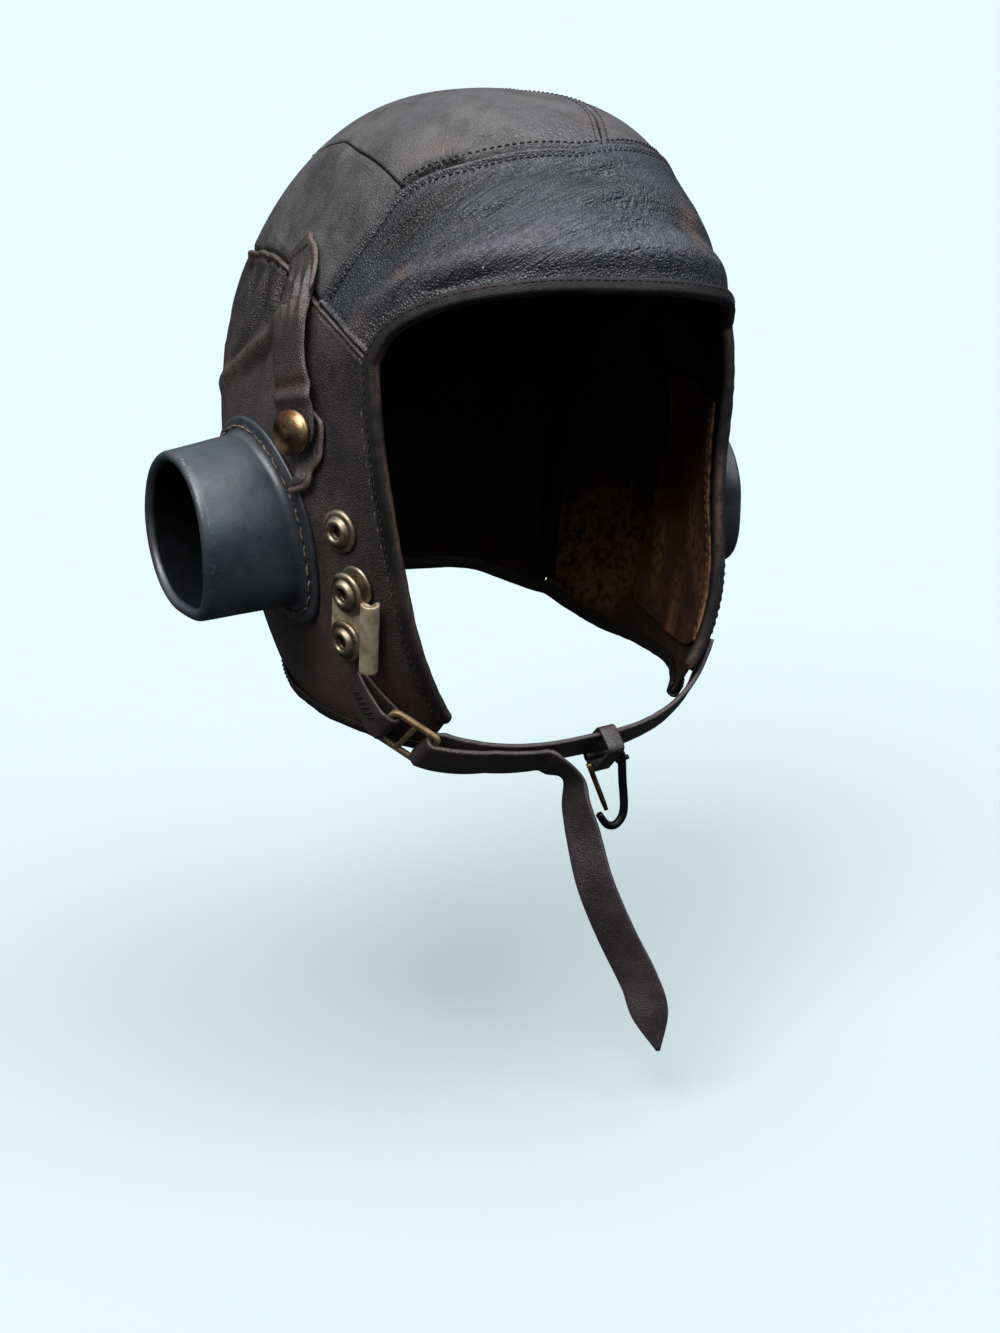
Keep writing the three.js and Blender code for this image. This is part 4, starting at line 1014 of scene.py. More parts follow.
def brow_tones(p, body):
    along, rise = brow_lines(p)
    edge = np.clip((p.foot - 7) / 6, 0, 1) * np.clip((p.head - 3) / 4, 0, 1)
    # Painted shade in the furrow along the brow seam, in the low band where the brow turns in above the binding,
    # and in the relief's deeper dips
    valley = fold(p.way, BROW_FOLDS[0][0].at, 5, 0.75)
    low_band = 0.95 * bell((p.foot - 5) / 5.5) * bell((along + 2) / 70)
    gap, _ = near(p.way, BROW_LADDER.at)
    return {
        "scuff": spots(p.way, BROW_SCUFFS),
        "shade": np.clip(valley + low_band + 0.5 * np.clip(-body - 0.5, 0, 1), 0, 1),
        "crackle": np.clip(0.8 * bell(gap / 9) + 0.3 * bell((along - 20) / 22), 0, 1) * edge,
        "lined": edge * mix(0.45, 1, bell((along + 50) / 40)),
        "run": along / 11,
        "rise": rise / 1.35,
    }


CROWN_SEAM_WORN = Line((-54, 56.2), (-48, 58), (-41.9, 59.2), (-33, 60.2))
CROWN_SCUFFS = [(-44, 61.5, 5, 2, 0.35), (18, 66, 4, 3, 0.3)]
CROWN_CRACKLE = [(-17, 64, 6, 1.9, 1.0), (-2, 64, 8, 2.2, 1.0), (8, 63, 5, 2.0, 0.8)]


def crown_relief(p):
    edge = np.minimum(np.minimum(p.foot, p.head), np.minimum(p.front, p.rear))
    pucker = 0.22 * noise(p.front / 4.5, p.foot / 9, 21) * bell(edge / 9)
    torn = 0.5 * noise(p.front / 1.1, p.foot / 1.1, 23) * bell(near(p.way, CROWN_SEAM_WORN.at)[0] / 2.2)
    return 0.35 * noise(p.front / 26, p.foot / 26, 22) * np.clip(edge / 8, 0, 1) + pucker + torn


def crown_tones(p, body):
    # Along the torn stretch of the brow seam the shade value is partly the frayed leather's own dark and partly
    # painted shade of the open seam
    torn = bell(near(p.way, CROWN_SEAM_WORN.at)[0] / 2.6)
    return {
        "shade": np.clip(1.1 * torn * (0.7 + 0.5 * noise(p.front / 1.6, p.foot / 1.6, 24)), 0, 1),
        "crackle": np.clip(1.3 * spots(p.way, CROWN_CRACKLE), 0, 1),
        "scuff": spots(p.way, CROWN_SCUFFS),
    }


# Folds and furrows of each ear section below its top seam: line, width and height
EAR_FOLDS = [
    (Line((-80, 39.5), (-87.5, 34.7), (-94.7, 28.6), (-102, 23.4), (-114, 14), (-120, 8)), 3.8, 1.9),
    (Line((-83, 36), (-90, 29), (-98, 21), (-106, 14)), 3.0, -0.9),
    (Line((-99.9, 42), (-101.6, 38), (-100.1, 33)), 0.9, 0.6),
    (Line((-97.6, 41.5), (-98.6, 37.5), (-97.4, 33)), 1.2, -0.9),
    (Line((-120, 40), (-118.4, 34), (-115, 28), (-114, 20)), 2.0, -1.3),
    (Line((-111, 41.5), (-109, 36), (-108.3, 29.8), (-110.3, 22.7), (-114.4, 15)), 1.7, -1.4),
    (Line((-104.8, 41.7), (-105, 37), (-103.8, 31), (-107.3, 25)), 1.4, -1.1),
    (Line((-128, 36), (-126, 28), (-124, 18)), 2.2, -1.2),
    (Line((-115, 40), (-113.5, 33), (-113, 26)), 1.6, 0.8),
]
# Where the leather stands out behind the jaw
JOWL, JOWL_HEIGHT = [(-119, -39, 16, 11, 1)], 3.2


def ear_relief(p):
    """Soft folds below the ear seam and small waves over the jaw."""
    edge = np.minimum(np.minimum(p.foot, p.head), np.minimum(p.front, p.rear))
    drape = 0.8 * noise(p.front / 15, p.foot / 38, 31) + 0.3 * noise(p.front / 7, p.foot / 17, 32)
    height = drape * np.clip(edge / 7, 0, 1) * 0.8
    way = right_side(p.way)
    for line, width, deep in EAR_FOLDS:
        height = height + fold(way, line.at, width, deep, 0.12)
    return height + JOWL_HEIGHT * spots(way, JOWL) * smooth((p.foot - 2) / 7)


def ear_tones(p, body):
    lon, lat = p.lon, p.lat
    # Painted shade in the furrows of the gathers and folds below the top seam; the shade value also darkens the
    # leather toward the front edge
    furrow = np.clip(-gathers(lon, lat) * 0.3 + np.clip(-body, 0, 1) * 0.5, 0, 0.75) * smooth(p.head / 3)
    top = smooth((lat - 8) / 26)
    low, seam = 0.3 * smooth((-24 - lat) / 14), 0.4 * bell((p.head - 1.2) / 1.8) * smooth((np.abs(lon) - 76) / 10)
    return {
        "shade": np.clip(furrow * top + 0.5 * bell((p.front - 7) / 9), 0, 1),
        "scuff": low + seam + 0.25 * bell((p.front - 4.6) / 0.7),
    }


def edge_kinds(foot, head, front, rear):
    return {"foot": foot, "head": head, "front": front, "rear": rear}


def side_panel(side, *lines):
    """A panel between four lines of the wearer's right, or between their mirror images."""
    return Panel(*(own(line, side) for line in lines))


def make_fleck():
    """A tiny pale fleck on the brow."""
    place = place_on(-29, 39.7, 1.9)
    shape = Shape()
    points = place.point + np.array([[-0.4], [0.4]]) * place.level
    stitches(shape, points, np.repeat(place.normal[None], 2, 0), pitch=0.7, thick=0.7)
    put(shape, "pale_fleck", "fleck", "brow_leather")


FUZZ = SimpleNamespace(count=110, length=(1.2, 4.2), thick=0.26)


def make_fuzz():
    """Loose fibres along the torn stretch of the brow seam."""
    random = np.random.default_rng(77)
    shape = Shape()
    for _ in range(FUZZ.count):
        way = CROWN_SEAM_WORN.at(random.uniform(0, 1))
        lon, lat = places_of(way)
        place = place_on(float(lon) + random.uniform(-0.5, 0.5), float(lat) - random.uniform(0.2, 1.6), -0.4)
        lean, out = random.uniform(-1.2, 1.2), random.uniform(0.25, 0.8)
        length = random.uniform(*FUZZ.length)
        ahead = unit(place.upward * random.uniform(-0.2, 1.0) + place.level * lean + place.normal * out)
        curl = place.normal * random.uniform(-0.5, 0.2) + place.level * random.uniform(-0.6, 0.6)
        share = np.linspace(0, 1, 6)[:, None]
        centre = place.point + ahead * share * length + curl * share**2 * length
        across = unit(np.cross(ahead, place.normal + 0.3 * place.level))
        other = np.cross(ahead, across)
        turns = np.radians([0, 90, 180, 270])
        ring = np.cos(turns)[:, None] * across + np.sin(turns)[:, None] * other
        add_tube(shape, centre[:, None, :] + ring[None] * (FUZZ.thick / 2 * (1 - 0.6 * share[:, :, None])))
    put(shape, "torn_seam_fibres", "dark_thread", "crown_leather")


def make_brow(dark):
    panel = Panel(BROW_EDGE.at, both_sides(BROW_SEAM.at), TEMPLE_SEAM.at, mirrored(TEMPLE_SEAM.at))
    kinds = edge_kinds("bound", "over", "over", "over")
    leather_piece("brow_panel", panel, kinds, "brow", brow_relief, brow_tones, BROW_CELL)
    seam_stitches(dark, panel, kinds, brow_relief, "head", 3.2, 0.02, 0.98)
    for side in ("front", "rear"):
        seam_stitches(dark, panel, kinds, brow_relief, side, 3.2, 0.06, 0.96)


def make_crown_top(name, side, dark):
    side_share = BROW_SEAM.runs[2] / 2
    foot = part(both_sides(BROW_SEAM.at), MIDDLE_SHARE, side_share if side == RIGHT else 1 - side_share)
    head = reversed_line(part(BACK_SEAM.at, CROWN_CORNER, 1))
    rear = joined(SIDE_SEAM.at, part(BACK_SEAM.at, 0, CROWN_CORNER), CROWN_REAR_SHARE)
    panel = Panel(foot, own(head, side), MIDLINE.at, own(rear, side))
    kinds = edge_kinds("turned", "closed", "closed", "closed")
    leather_piece(f"crown_top_{name}", panel, kinds, "crown", crown_relief, crown_tones)
    seam_stitches(dark, panel, kinds, crown_relief, "foot", 3.2, 0.02, 0.98)
    seam_stitches(dark, panel, kinds, crown_relief, "front", 2.6, 0.03, 0.98, thick=0.4)


def make_crown_side(name, side, pale):
    foot = joined(EAR_SEAM.at, NAPE_SEAM.at, OVER_EAR_SHARE)
    head = joined(SIDE_SEAM.at, BACK_SEAM.at, SIDE_SEAM_SHARE)
    panel = side_panel(side, foot, head, BROW_SEAM.stretch(0, 2), NAPE_MIDLINE.at)
    kinds = edge_kinds("under", "closed", "under", "closed")
    leather_piece(f"crown_side_{name}", panel, kinds, "crown", crown_relief, crown_tones)
    seam_stitches(pale, panel, kinds, crown_relief, "head", 2.6, 0.03, 0.97, thick=0.36, share=0.5)


def make_ear_section(name, side, dark, pale):
    foot = joined(CHIN_END.at, HEM.at, TEMPLE_SHARE)
    head = joined(TEMPLE_SEAM.at, EAR_SEAM.at, TEMPLE_SHARE)
    panel = side_panel(side, foot, head, CHEEK_EDGE.at, EAR_BACK.at)
    kinds = edge_kinds("bound", "lapped", "bound", "turned")
    leather_piece(f"ear_section_{name}", panel, kinds, "ear", ear_relief, ear_tones)
    seam_stitches(dark, panel, kinds, ear_relief, "head", 3.0, 0.03, 0.98)
    seam_stitches(pale, panel, kinds, ear_relief, "front", 6.2, 0.3, 0.85, pitch=5.2, thick=0.34, share=0.45)


def make_nape(dark):
    panel = Panel(both_sides(NAPE_HEM.at), both_sides(NAPE_SEAM.at), EAR_BACK.at, mirrored(EAR_BACK.at))
    kinds = edge_kinds("bound", "over", "turned", "turned")
    leather_piece("nape_panel", panel, kinds, "crown", crown_relief, crown_tones)
    seam_stitches(dark, panel, kinds, crown_relief, "head", 3.2, 0.02, 0.98, thick=0.45)


def make_seam_strips():
    strips = Shape()
    for _, side in SIDES:
        for seam in (SIDE_SEAM, BACK_SEAM, EAR_SEAM, NAPE_SEAM, BROW_SEAM):
            seam_strip(strips, own(seam.at, side))
        for seam in (TEMPLE_SEAM, EAR_BACK):
            seam_strip(strips, own(seam.at, side), STRIP.short_start)
    for seam in (MIDLINE, NAPE_MIDLINE):
        seam_strip(strips, seam.at)
    put(strips, "seam_allowances", "shadow", "crown_leather")


def make_shell():
    dark, pale = Shape(), Shape()
    make_brow(dark)
    make_fleck()
    for name, side in SIDES:
        make_crown_top(name, side, dark)
        make_crown_side(name, side, pale)
        make_ear_section(name, side, dark, pale)
    make_nape(dark)
    put(dark, "seam_stitches", "dark_thread", "crown_leather")
    put(pale, "pale_seam_stitches", "pale_thread", "crown_leather")
    make_seam_strips()
    make_fuzz()


# Bindings
BINDING = SimpleNamespace(out=1.0, reach=4.0, turn=1.3, clear=GAP + 0.25, spacing=1.6)


def binding_section(side):
    """The outline of a binding folded round an edge, rounder than its solid."""
    b = BINDING
    high, low = b.clear + b.out / 2, -LEATHER - b.clear - b.out / 2
    middle, half = (high + low) / 2, (high - low) / 2
    legs = np.linspace(b.reach - b.out / 2, 0.4, 5)
    turns = np.radians(np.linspace(90, 270, 11))
    nose = np.stack([0.4 + (b.turn - b.out / 2 + 0.4) * np.cos(turns), middle + half * np.sin(turns)], -1)
    top = np.stack([legs, 0 * legs + high], -1)[:-1]
    bottom = np.stack([legs[::-1], 0 * legs + low], -1)[1:]
    return thick_line(np.concatenate([top, nose, bottom]), b.out) * [side, 1]


def binding_piece(name, node, line, side, thread_rows):
    length = line_length(line)
    t = np.linspace(0, 1, int(length / BINDING.spacing))
    frames = frames_on(line, t, 0)
    section = binding_section(side)
    rings = swept(section, frames)
    run = t * length
    size = len(section)
    pucker = 0.16 * noise(run[:, None] / 3.4 + 0 * np.arange(size), np.arange(size)[None, :] / 9, 41)
    middle = rings.mean(1, keepdims=True)
    rings = rings + unit(rings - middle) * (pucker - 0.08)[..., None]
    shape = Shape()
    nose = np.argmin(section[:, 0] * side)
    away = np.abs(np.arange(size) - nose)
    around = np.minimum(away, size - away)
    rub = 0.9 * bell(around / 1.6)[None, :] * np.clip(0.55 + noise(run / 14, 0 * run, 43), 0, 1)[:, None]
    add_tube(shape, rings, wear=rub)
    put(shape, name, "binding", "binding_leather", node)
    for shape, start, end in thread_rows:
        span = np.linspace(start, end, 500)
        row = frames_on(line, span, BINDING.clear + BINDING.out - 0.02)
        points = row.centre + row.side * side * (BINDING.reach - 1.1)
        stitches(shape, points, row.face, pitch=3.0, thick=0.42, lift=0.05)


def make_bindings():
    dark, red = Shape(), Shape()
    cheek_and_brow = joined(CHEEK_EDGE.at, BROW_EDGE.at, CHEEK_SHARE / (2 - CHEEK_SHARE))
    face_edge = joined(cheek_and_brow, reversed_line(mirrored(CHEEK_EDGE.at)), 1 - CHEEK_SHARE / 2)
    rows = [(dark, 0.01, 0.33), (red, 0.33, 0.43), (dark, 0.43, 0.6), (red, 0.6, 0.7), (dark, 0.7, 0.99)]
    binding_piece("face_binding_leather", "face_binding", face_edge, 1, rows)
    hem = both_sides(joined(HEM.at, NAPE_HEM.at, SIDE_HEM_SHARE))
    binding_piece("hem_binding_leather", "hem_binding", hem, -1, [(dark, 0.01, 0.99)])
    put(dark, "binding_stitches", "dark_thread", "binding_leather")
    put(red, "edge_stitches", "red_thread", "binding_leather")


def lining_relief(p):
    return 0.18 * noise(p.front / 7, p.foot / 9, 51)


def lining_tones(p, body):
    return {"wear": 0.8 * bell(p.front / 3) + 0.5 * np.clip(noise(p.front / 9, p.foot / 20, 52), 0, 1)}


# How deep the linings lie, and their row of thread: share of the width, depth and points
LINING_PLACE = SimpleNamespace(sink=2.4, thread_at=0.06, thread_depth=3.35, points=200)


def make_linings():
    tan = Shape()
    at = LINING_PLACE
    kinds = edge_kinds("none", "none", "none", "none")
    for name, side in SIDES:
        panel = side_panel(side, LINING_FOOT.at, LINING_HEAD.at, LINING_FRONT.at, LINING_REAR.at)
        panel_piece(
            f"lining_{name}_suede", f"lining_{name}", panel, kinds, "chamois", "chamois",
            lining_relief, lining_tones, LINING, at.sink,
        )
        place = panel.place(np.full(at.points, at.thread_at), np.linspace(0.03, 0.97, at.points))
        normal = form_normal(place.way, True)
        stitches(tan, form_point(place.way, True) - normal * at.thread_depth, -normal, pitch=3.4, thick=0.45)
    put(tan, "lining_stitches", "tan_thread", "chamois")


# Ear cups
CUP_PLACES = {
    "right": SimpleNamespace(base_y=5.6, base_z=-139.5, mouth_x=121, mouth_y=0, mouth_z=-139.6),
    "left": SimpleNamespace(base_y=5.6, base_z=-144, mouth_x=97.5, mouth_y=2.7, mouth_z=-150),
}
# Sizes of a cup, then the numbers of the rings at its groove, where it is rubbed, where the painted shade of its
# inside begins, and where its near-black inner finish begins
CUP = SimpleNamespace(
    base_radius=29.5, mouth_radius=28.2, flange=6, flange_thickness=1.5, lift=0.9, wall=4,
    rim_round=2.5, corner=3.6, sides=128, groove=9, worn_at=42, shade_from=49, hollow_from=51,
)


def form_reach(side, y, z):
    """Distance of the form from the middle plane at places seen from the side."""
    low, high = np.full(y.shape, HEAD_RADIUS / 3), np.full(y.shape, float(HEAD_RADIUS))
    for _ in range(24):
        middle = (low + high) / 2
        way = np.stack([side * middle, y, z], -1) - HEAD_CENTRE
        inside = np.linalg.norm(way, axis=-1) < radius(unit(way))
        low, high = np.where(inside, middle, low), np.where(inside, high, middle)
    return high


def cup_outline(turn):
    behind, up = np.cos(turn), np.sin(turn)
    power = np.where((behind < 0) & (up < 0), CUP.corner, 2.0)
    return (np.abs(behind) ** power + np.abs(up) ** power) ** (-1 / power)


def cup_rings():
    """Rings of the cup's outline: share of the way to the mouth, radius, and lift off the form or the mouth."""
    c = CUP
    top = c.lift + c.flange_thickness
    rings = [(0, c.base_radius + c.flange - 0.2, c.lift)]
    for turn in np.radians([-60, -20, 20, 60]):
        r = c.base_radius + c.flange - 0.6 + 0.6 * math.cos(turn)
        rings.append((0, r, c.lift + 0.75 + 0.7 * math.sin(turn)))
    for r in np.linspace(c.base_radius + c.flange - 1.2, c.base_radius + 2.2, 5):
        rings.append((0, r, top + 0.12 * math.sin((r - c.base_radius) * 1.3)))
    for turn in np.radians([20, 45, 70, 90]):
        rings.append((0, c.base_radius + 2.2 - 2.2 * math.sin(turn), top + 0.1 + 2.2 * (1 - math.cos(turn))))
    for share in np.linspace(0.03, 1, 26):
        rings.append((share, mix(c.base_radius, c.mouth_radius, share), mix(top + 2.3, -c.rim_round, share)))
    middle, half = c.mouth_radius - c.wall / 2, c.wall / 2
    for turn in np.radians(np.linspace(15, 165, 11)):
        rings.append((1, middle + half * math.cos(turn), c.rim_round * (math.sin(turn) - 1)))
    for share in np.linspace(1, 0, 18):
        r = mix(c.base_radius, c.mouth_radius, share) - c.wall
        rings.append((share, r, mix(c.lift, -c.rim_round, share)))
    return rings


def cup_points(rings, turns, side, at):
    made = []
    for share, r, lift in rings:
        y = mix(at.base_y, at.mouth_y, share) + r * cup_outline(turns) * np.cos(turns)
        z = mix(at.base_z, at.mouth_z, share) + r * cup_outline(turns) * np.sin(turns)
        x = mix(form_reach(side, y, z), at.mouth_x, share) + lift
        made.append(np.stack([side * x, y, z], -1))
    return np.array(made)


def make_cup(name, side, turns):
    rings = cup_points(cup_rings(), turns, side, CUP_PLACES[name])
    count = len(rings)
    ring = np.arange(count)[:, None]
    wave = 0.25 * noise(ring / 9, turns[None, :] * 3, 61)
    level = unit((rings - rings.mean(1, keepdims=True)) * [0, 1, 1])
    rings = rings + level * wave[..., None] * np.linspace(0, 1, count)[:, None, None]
    rubbed = 0.4 + 0.6 * np.cos(turns - 2.2)[None, :]
    wear = np.clip(bell((ring - CUP.worn_at) / 6.0) * rubbed, 0, 1)
    # Painted shade: the hollow value blackens the inside of the cup and a thin line along the groove by the
    # flange
    hollow = np.maximum(smooth((ring - CUP.shade_from) / 4), 0.8 * bell((ring - CUP.groove) / 0.7)) + 0 * wear
    shape = Shape()
    add_tube(shape, rings, closed=True, wear=wear, hollow=hollow)
    made = shape.build(f"ear_cup_{name}_rubber", FINISHES["rubber"])
    # The inner wall takes the near-black finish, painted shade deep in the cup
    second_finish(made, "hollow", np.arange(len(made.data.polygons)) // CUP.sides >= CUP.hollow_from)
    keep(made, "cup_rubber", f"ear_cup_{name}")


def make_cups():
    tan = Shape()
    turns = np.linspace(0, 2 * np.pi, CUP.sides, endpoint=False)
    fine = np.linspace(0, 2 * np.pi, 400)
    thread_ring = (0, CUP.base_radius + 2.6, CUP.lift + CUP.flange_thickness + 0.15)
    for name, side in SIDES:
        make_cup(name, side, turns)
        row = cup_points([thread_ring], fine, side, CUP_PLACES[name])[0]
        stitches(tan, row, form_normal(unit(row - HEAD_CENTRE)), pitch=6.4, share=0.86, thick=0.7, lift=0.1)
    put(tan, "cup_stitches", "cup_thread", "cup_rubber")


# Straps over the ears
# Each strap's line, its reach to the front and to the rear, and its height, by share of the line
EAR_STRAP = SimpleNamespace(
    line=Line((-89, 48), (-84.5, 42), (-80.5, 35), (-79, 28), (-75, 18), (-72, 5)),
    front=[
        (0, 3.2), (0.03, 4.2), (0.07, 6.9), (0.12, 8.5), (0.2, 9.8), (0.26, 9.4), (0.3, 7.6), (0.36, 7.6),
        (0.44, 8.4), (0.6, 7.7), (0.72, 8.6), (0.84, 8.8), (0.93, 7.4), (1, 3),
    ],
    rear=[
        (0, -1.5), (0.02, 3), (0.045, 9.6), (0.08, 9.6), (0.15, 8.2), (0.21, 4.4), (0.26, 0.2), (0.285, 1.2),
        (0.31, 7), (0.35, 10.4), (0.44, 9.6), (0.6, 9), (0.82, 8.4), (0.93, 7), (1, 3),
    ],
    height=[(0, 0.8), (0.12, 0.8), (0.25, 2.2), (0.38, 3.4), (1, 3.4)],
)
SNAP_TAB = SimpleNamespace(
    line=Line((-73, 15), (-70.5, 6), (-70, 0), (-74, -3.5)),
    front=[
        (0, 2.5), (0.1, 5.5), (0.2, 7.6), (0.4, 6.4), (0.55, 5.2), (0.66, 2.2), (0.78, 2.8), (0.9, 1.6), (1, 0.4),
    ],
    rear=[(0, 6), (0.25, 8.3), (0.5, 6.5), (0.75, 4.6), (0.9, 3.2), (1, 1)],
    height=[(0, 0.6), (0.5, 0.6), (0.75, 3), (1, 3.6)],
)
# Rows of thread at the ear strap's tip: places by share of the line and offset to the front, and thickness
TIP_STITCHES = [
    ([(0.055, 3.4), (0.075, -7.6), (0.17, -5.4)], 0.5),
    ([(0.075, 4.8), (0.12, 6.6), (0.2, 7.6)], 0.4),
]
STRAP_THICKNESS = 1.5


def band_frames(line, side, t):
    """Frames along a band, their side turned to the front."""
    frames = frames_on(line, t, 0)
    frames.front = -side * frames.side
    return frames


def band_piece(node, side, band, relief, tones):
    """A soft band along a line on the form."""
    line = own(band.line.at, side)
    length = line_length(line)
    t = np.linspace(0, 1, int(length / BAND_STEP))
    across = np.sin(np.linspace(-1, 1, 29) * np.pi / 2)[None, :]
    ahead, behind, height = (read_table(table, t) for table in (band.front, band.rear, band.height))
    frames = band_frames(line, side, t)
    offset = mix(-behind, ahead, (across + 1) / 2)
    ways = unit(frames.centre[:, None, :] + frames.front[:, None, :] * offset[..., None] - HEAD_CENTRE)
    run, across_all = t[:, None] * length + 0 * offset, across + 0 * offset
    at = SimpleNamespace(
        run=run, offset=offset, across=across_all, to_front=ahead - offset, to_rear=offset + behind
    )
    rise = relief(at)
    round_edge = 0.5 * np.abs(across) ** 10
    outer = off_form(ways, height + rise + STRAP_THICKNESS * (1 - round_edge))
    inner = off_form(ways, height + rise + STRAP_THICKNESS * round_edge * 0.6)
    shape = Shape()
    add_wall(shape, outer, inner, **tones(at))
    put(shape, f"{node}_leather", "strap", "strap_leather", node)


def ear_strap_relief(at):
    pinched = bell((at.run - 20) / 7)
    folds = pinched * (0.9 * np.cos(at.offset * 1.25 + 0.6) + 0.5 * np.cos(at.offset * 2.3))
    bend = 0.9 * bell((at.run - 55) / 2.4) - 0.5 * bell((at.run - 51) / 2.2)
    edge = 0.25 * bell((at.to_front - 1.1) / 0.8) + 0.25 * bell((at.to_rear - 1.1) / 0.8)
    return folds + bend + edge * (at.run < 14) + 0.22 * noise(at.run / 14, at.offset / 8, 71)


def ear_strap_tones(at):
    pinched = bell((at.run - 23) / 5)
    edge = 0.4 * np.abs(at.across) ** 20 + 0.3 * bell((at.to_front - 0.5) / 0.5) * (at.run < 17)
    tip, bend = 0.8 * bell((at.to_front - 1.2) / 1.4) * (at.run < 18), 0.4 * bell((at.run - 50) / 4)
    return {
        "wear": np.clip(edge + 0.3 * pinched, 0, 1),
        "scuff": np.clip(tip + bend, 0, 1),
        # Painted shade in the dip before the bend over the snap cap and in the fold near the tip
        "shade": np.clip(0.6 * bell((at.run - 49) / 3.5) + 0.5 * bell((at.run - 17.5) / 2) + 0 * at.run, 0, 1),
    }


def snap_tab_relief(at):
    line = -0.45 * bell((at.to_front - 2.3) / 0.5) + 0.25 * bell((at.to_front - 1.2) / 0.6)
    return line + 0.25 * noise(at.run / 7, at.offset / 5, 73)


def snap_tab_tones(at):
    return {"wear": 0.6 * bell((at.to_front - 0.3) / 0.5), "scuff": 0.5 * bell((at.to_front - 1) / 1.4)}


def band_row(line, side, places, height, count=24):
    """Points and normals over a band through places given by share of its line and offset to the front."""
    share, offset = np.array(places, float).T
    run = np.concatenate([[0], np.cumsum(np.hypot(np.diff(share) * line_length(line), np.diff(offset)))])
    steps = np.linspace(0, run[-1], count * len(share))
    frames = band_frames(line, side, np.interp(steps, run, share))
    ways = unit(frames.centre + frames.front * np.interp(steps, run, offset)[:, None] - HEAD_CENTRE)
    return off_form(ways, np.full(len(steps), height)), form_normal(ways)


# Snap cap and press studs: radius and height
SNAP_CAP = [(8, 0), (8, 0.8), (7.6, 1.3), (7.2, 1.9), (5.2, 2.9), (2.6, 3.5), (0.3, 3.7)]
PRESS_STUD = [
    (7.4, 0), (7.4, 0.7), (7.1, 1.2), (6.3, 1.5), (5.6, 1.25), (5.0, 1.5),
    (4.6, 2.6), (3.9, 3.2), (3.1, 3.2), (2.5, 2.7), (2.4, 0.9), (0.2, 0.9),
]
# The second cap that shows behind the mask hook's upper stud
STUD_BACK = [(7.4, 0), (7.4, 0.5), (6.9, 0.95), (6.0, 1.05), (0.3, 1.05)]
TURNED_SIDES = 48


def add_turned(shape, profile, place, hollow_inside=0.0):
    """A turned body standing on a place, its axis along the normal."""
    heights = np.array(profile, float)
    path = [heights[0]]
    for before, after in zip(heights[:-1], heights[1:]):
        steps = max(1, int(np.hypot(*(after - before)) / 0.45))
        path += [mix(before, after, k / steps) for k in range(1, steps + 1)]
    path = np.array(path)
    soft = path.copy()
    soft[1:-1] = 0.25 * path[:-2] + 0.5 * path[1:-1] + 0.25 * path[2:]
    turns = np.linspace(0, 2 * np.pi, TURNED_SIDES, endpoint=False)
    level = place.level * np.cos(turns)[:, None] + place.upward * np.sin(turns)[:, None]
    rings = place.point + soft[:, 0, None, None] * level[None] + soft[:, 1, None, None] * place.normal
    hollow = np.clip((hollow_inside - soft[:, 0]) / 0.4, 0, 1) if hollow_inside else np.zeros(len(soft))
    valley = np.clip(bell((soft[:, 0] - 5.6) / 0.5), 0, 1) * (1 if hollow_inside else 0)
    add_tube(shape, rings, hollow=np.maximum(hollow, 0.7 * valley)[:, None])


SNAP_CAP_PLACE = (73.4, 9.5, 5.4)
STUD_PLACES = [(61.4, -10.2, 0.6), (58, -21.2, 0.6), (60.3, -31.7, 0.6)]
STUD_HOLE = 2.6


def shifted(place, level, upward, out):
    point = place.point + place.level * level + place.upward * upward + place.normal * out
    return SimpleNamespace(point=point, normal=place.normal, level=place.level, upward=place.upward)


def make_ear_fittings():
    dark = Shape()
    over_strap = EAR_STRAP.height[0][1] + STRAP_THICKNESS + 0.12
    for name, side in SIDES:
        band_piece(f"ear_strap_{name}", side, EAR_STRAP, ear_strap_relief, ear_strap_tones)
        for row, thick in TIP_STITCHES:
            points, normals = band_row(own(EAR_STRAP.line.at, side), side, row, over_strap)
            stitches(dark, points, normals, pitch=1.9, thick=thick)
        band_piece(f"snap_tab_{name}", side, SNAP_TAB, snap_tab_relief, snap_tab_tones)
        lon, lat, height = SNAP_CAP_PLACE
        cap = Shape()
        add_turned(cap, SNAP_CAP, place_on(side * lon, lat, height))
        put(cap, f"snap_cap_{name}_brass", "cap", "brass", f"snap_cap_{name}")
    for i, (lon, lat, height) in enumerate(STUD_PLACES, 1):
        press_stud(f"press_stud_left_{i}", place_on(LEFT * lon, lat, height))
    lon, lat, height = STUD_PLACES[0]
    press_stud("press_stud_right_1", place_on(RIGHT * lon, lat, height))
    put(dark, "strap_tip_stitches", "dark_thread", "strap_leather")


def press_stud(node, place):
    shape = Shape()
    add_turned(shape, PRESS_STUD, place, STUD_HOLE)
    put(shape, f"{node}_metal", "nickel", "nickel", node)


HOOK_PLATE = SimpleNamespace(
    lon=-59.4, lat=-27.2, tilt=11, height=1.4, thickness=1.2, back=7.8, flat=12.9,
    roll=3.2, roll_turn=235, top=11.4, foot=-14.4, stud_apart=18.4,
)


def tilted(place, degrees):
    """The same place, turned about its normal so that its foot moves back."""
    c, s = math.cos(math.radians(degrees)), math.sin(math.radians(degrees))
    level, upward = c * place.level - s * place.upward, c * place.upward + s * place.level
    return SimpleNamespace(point=place.point, normal=place.normal, level=level, upward=upward)


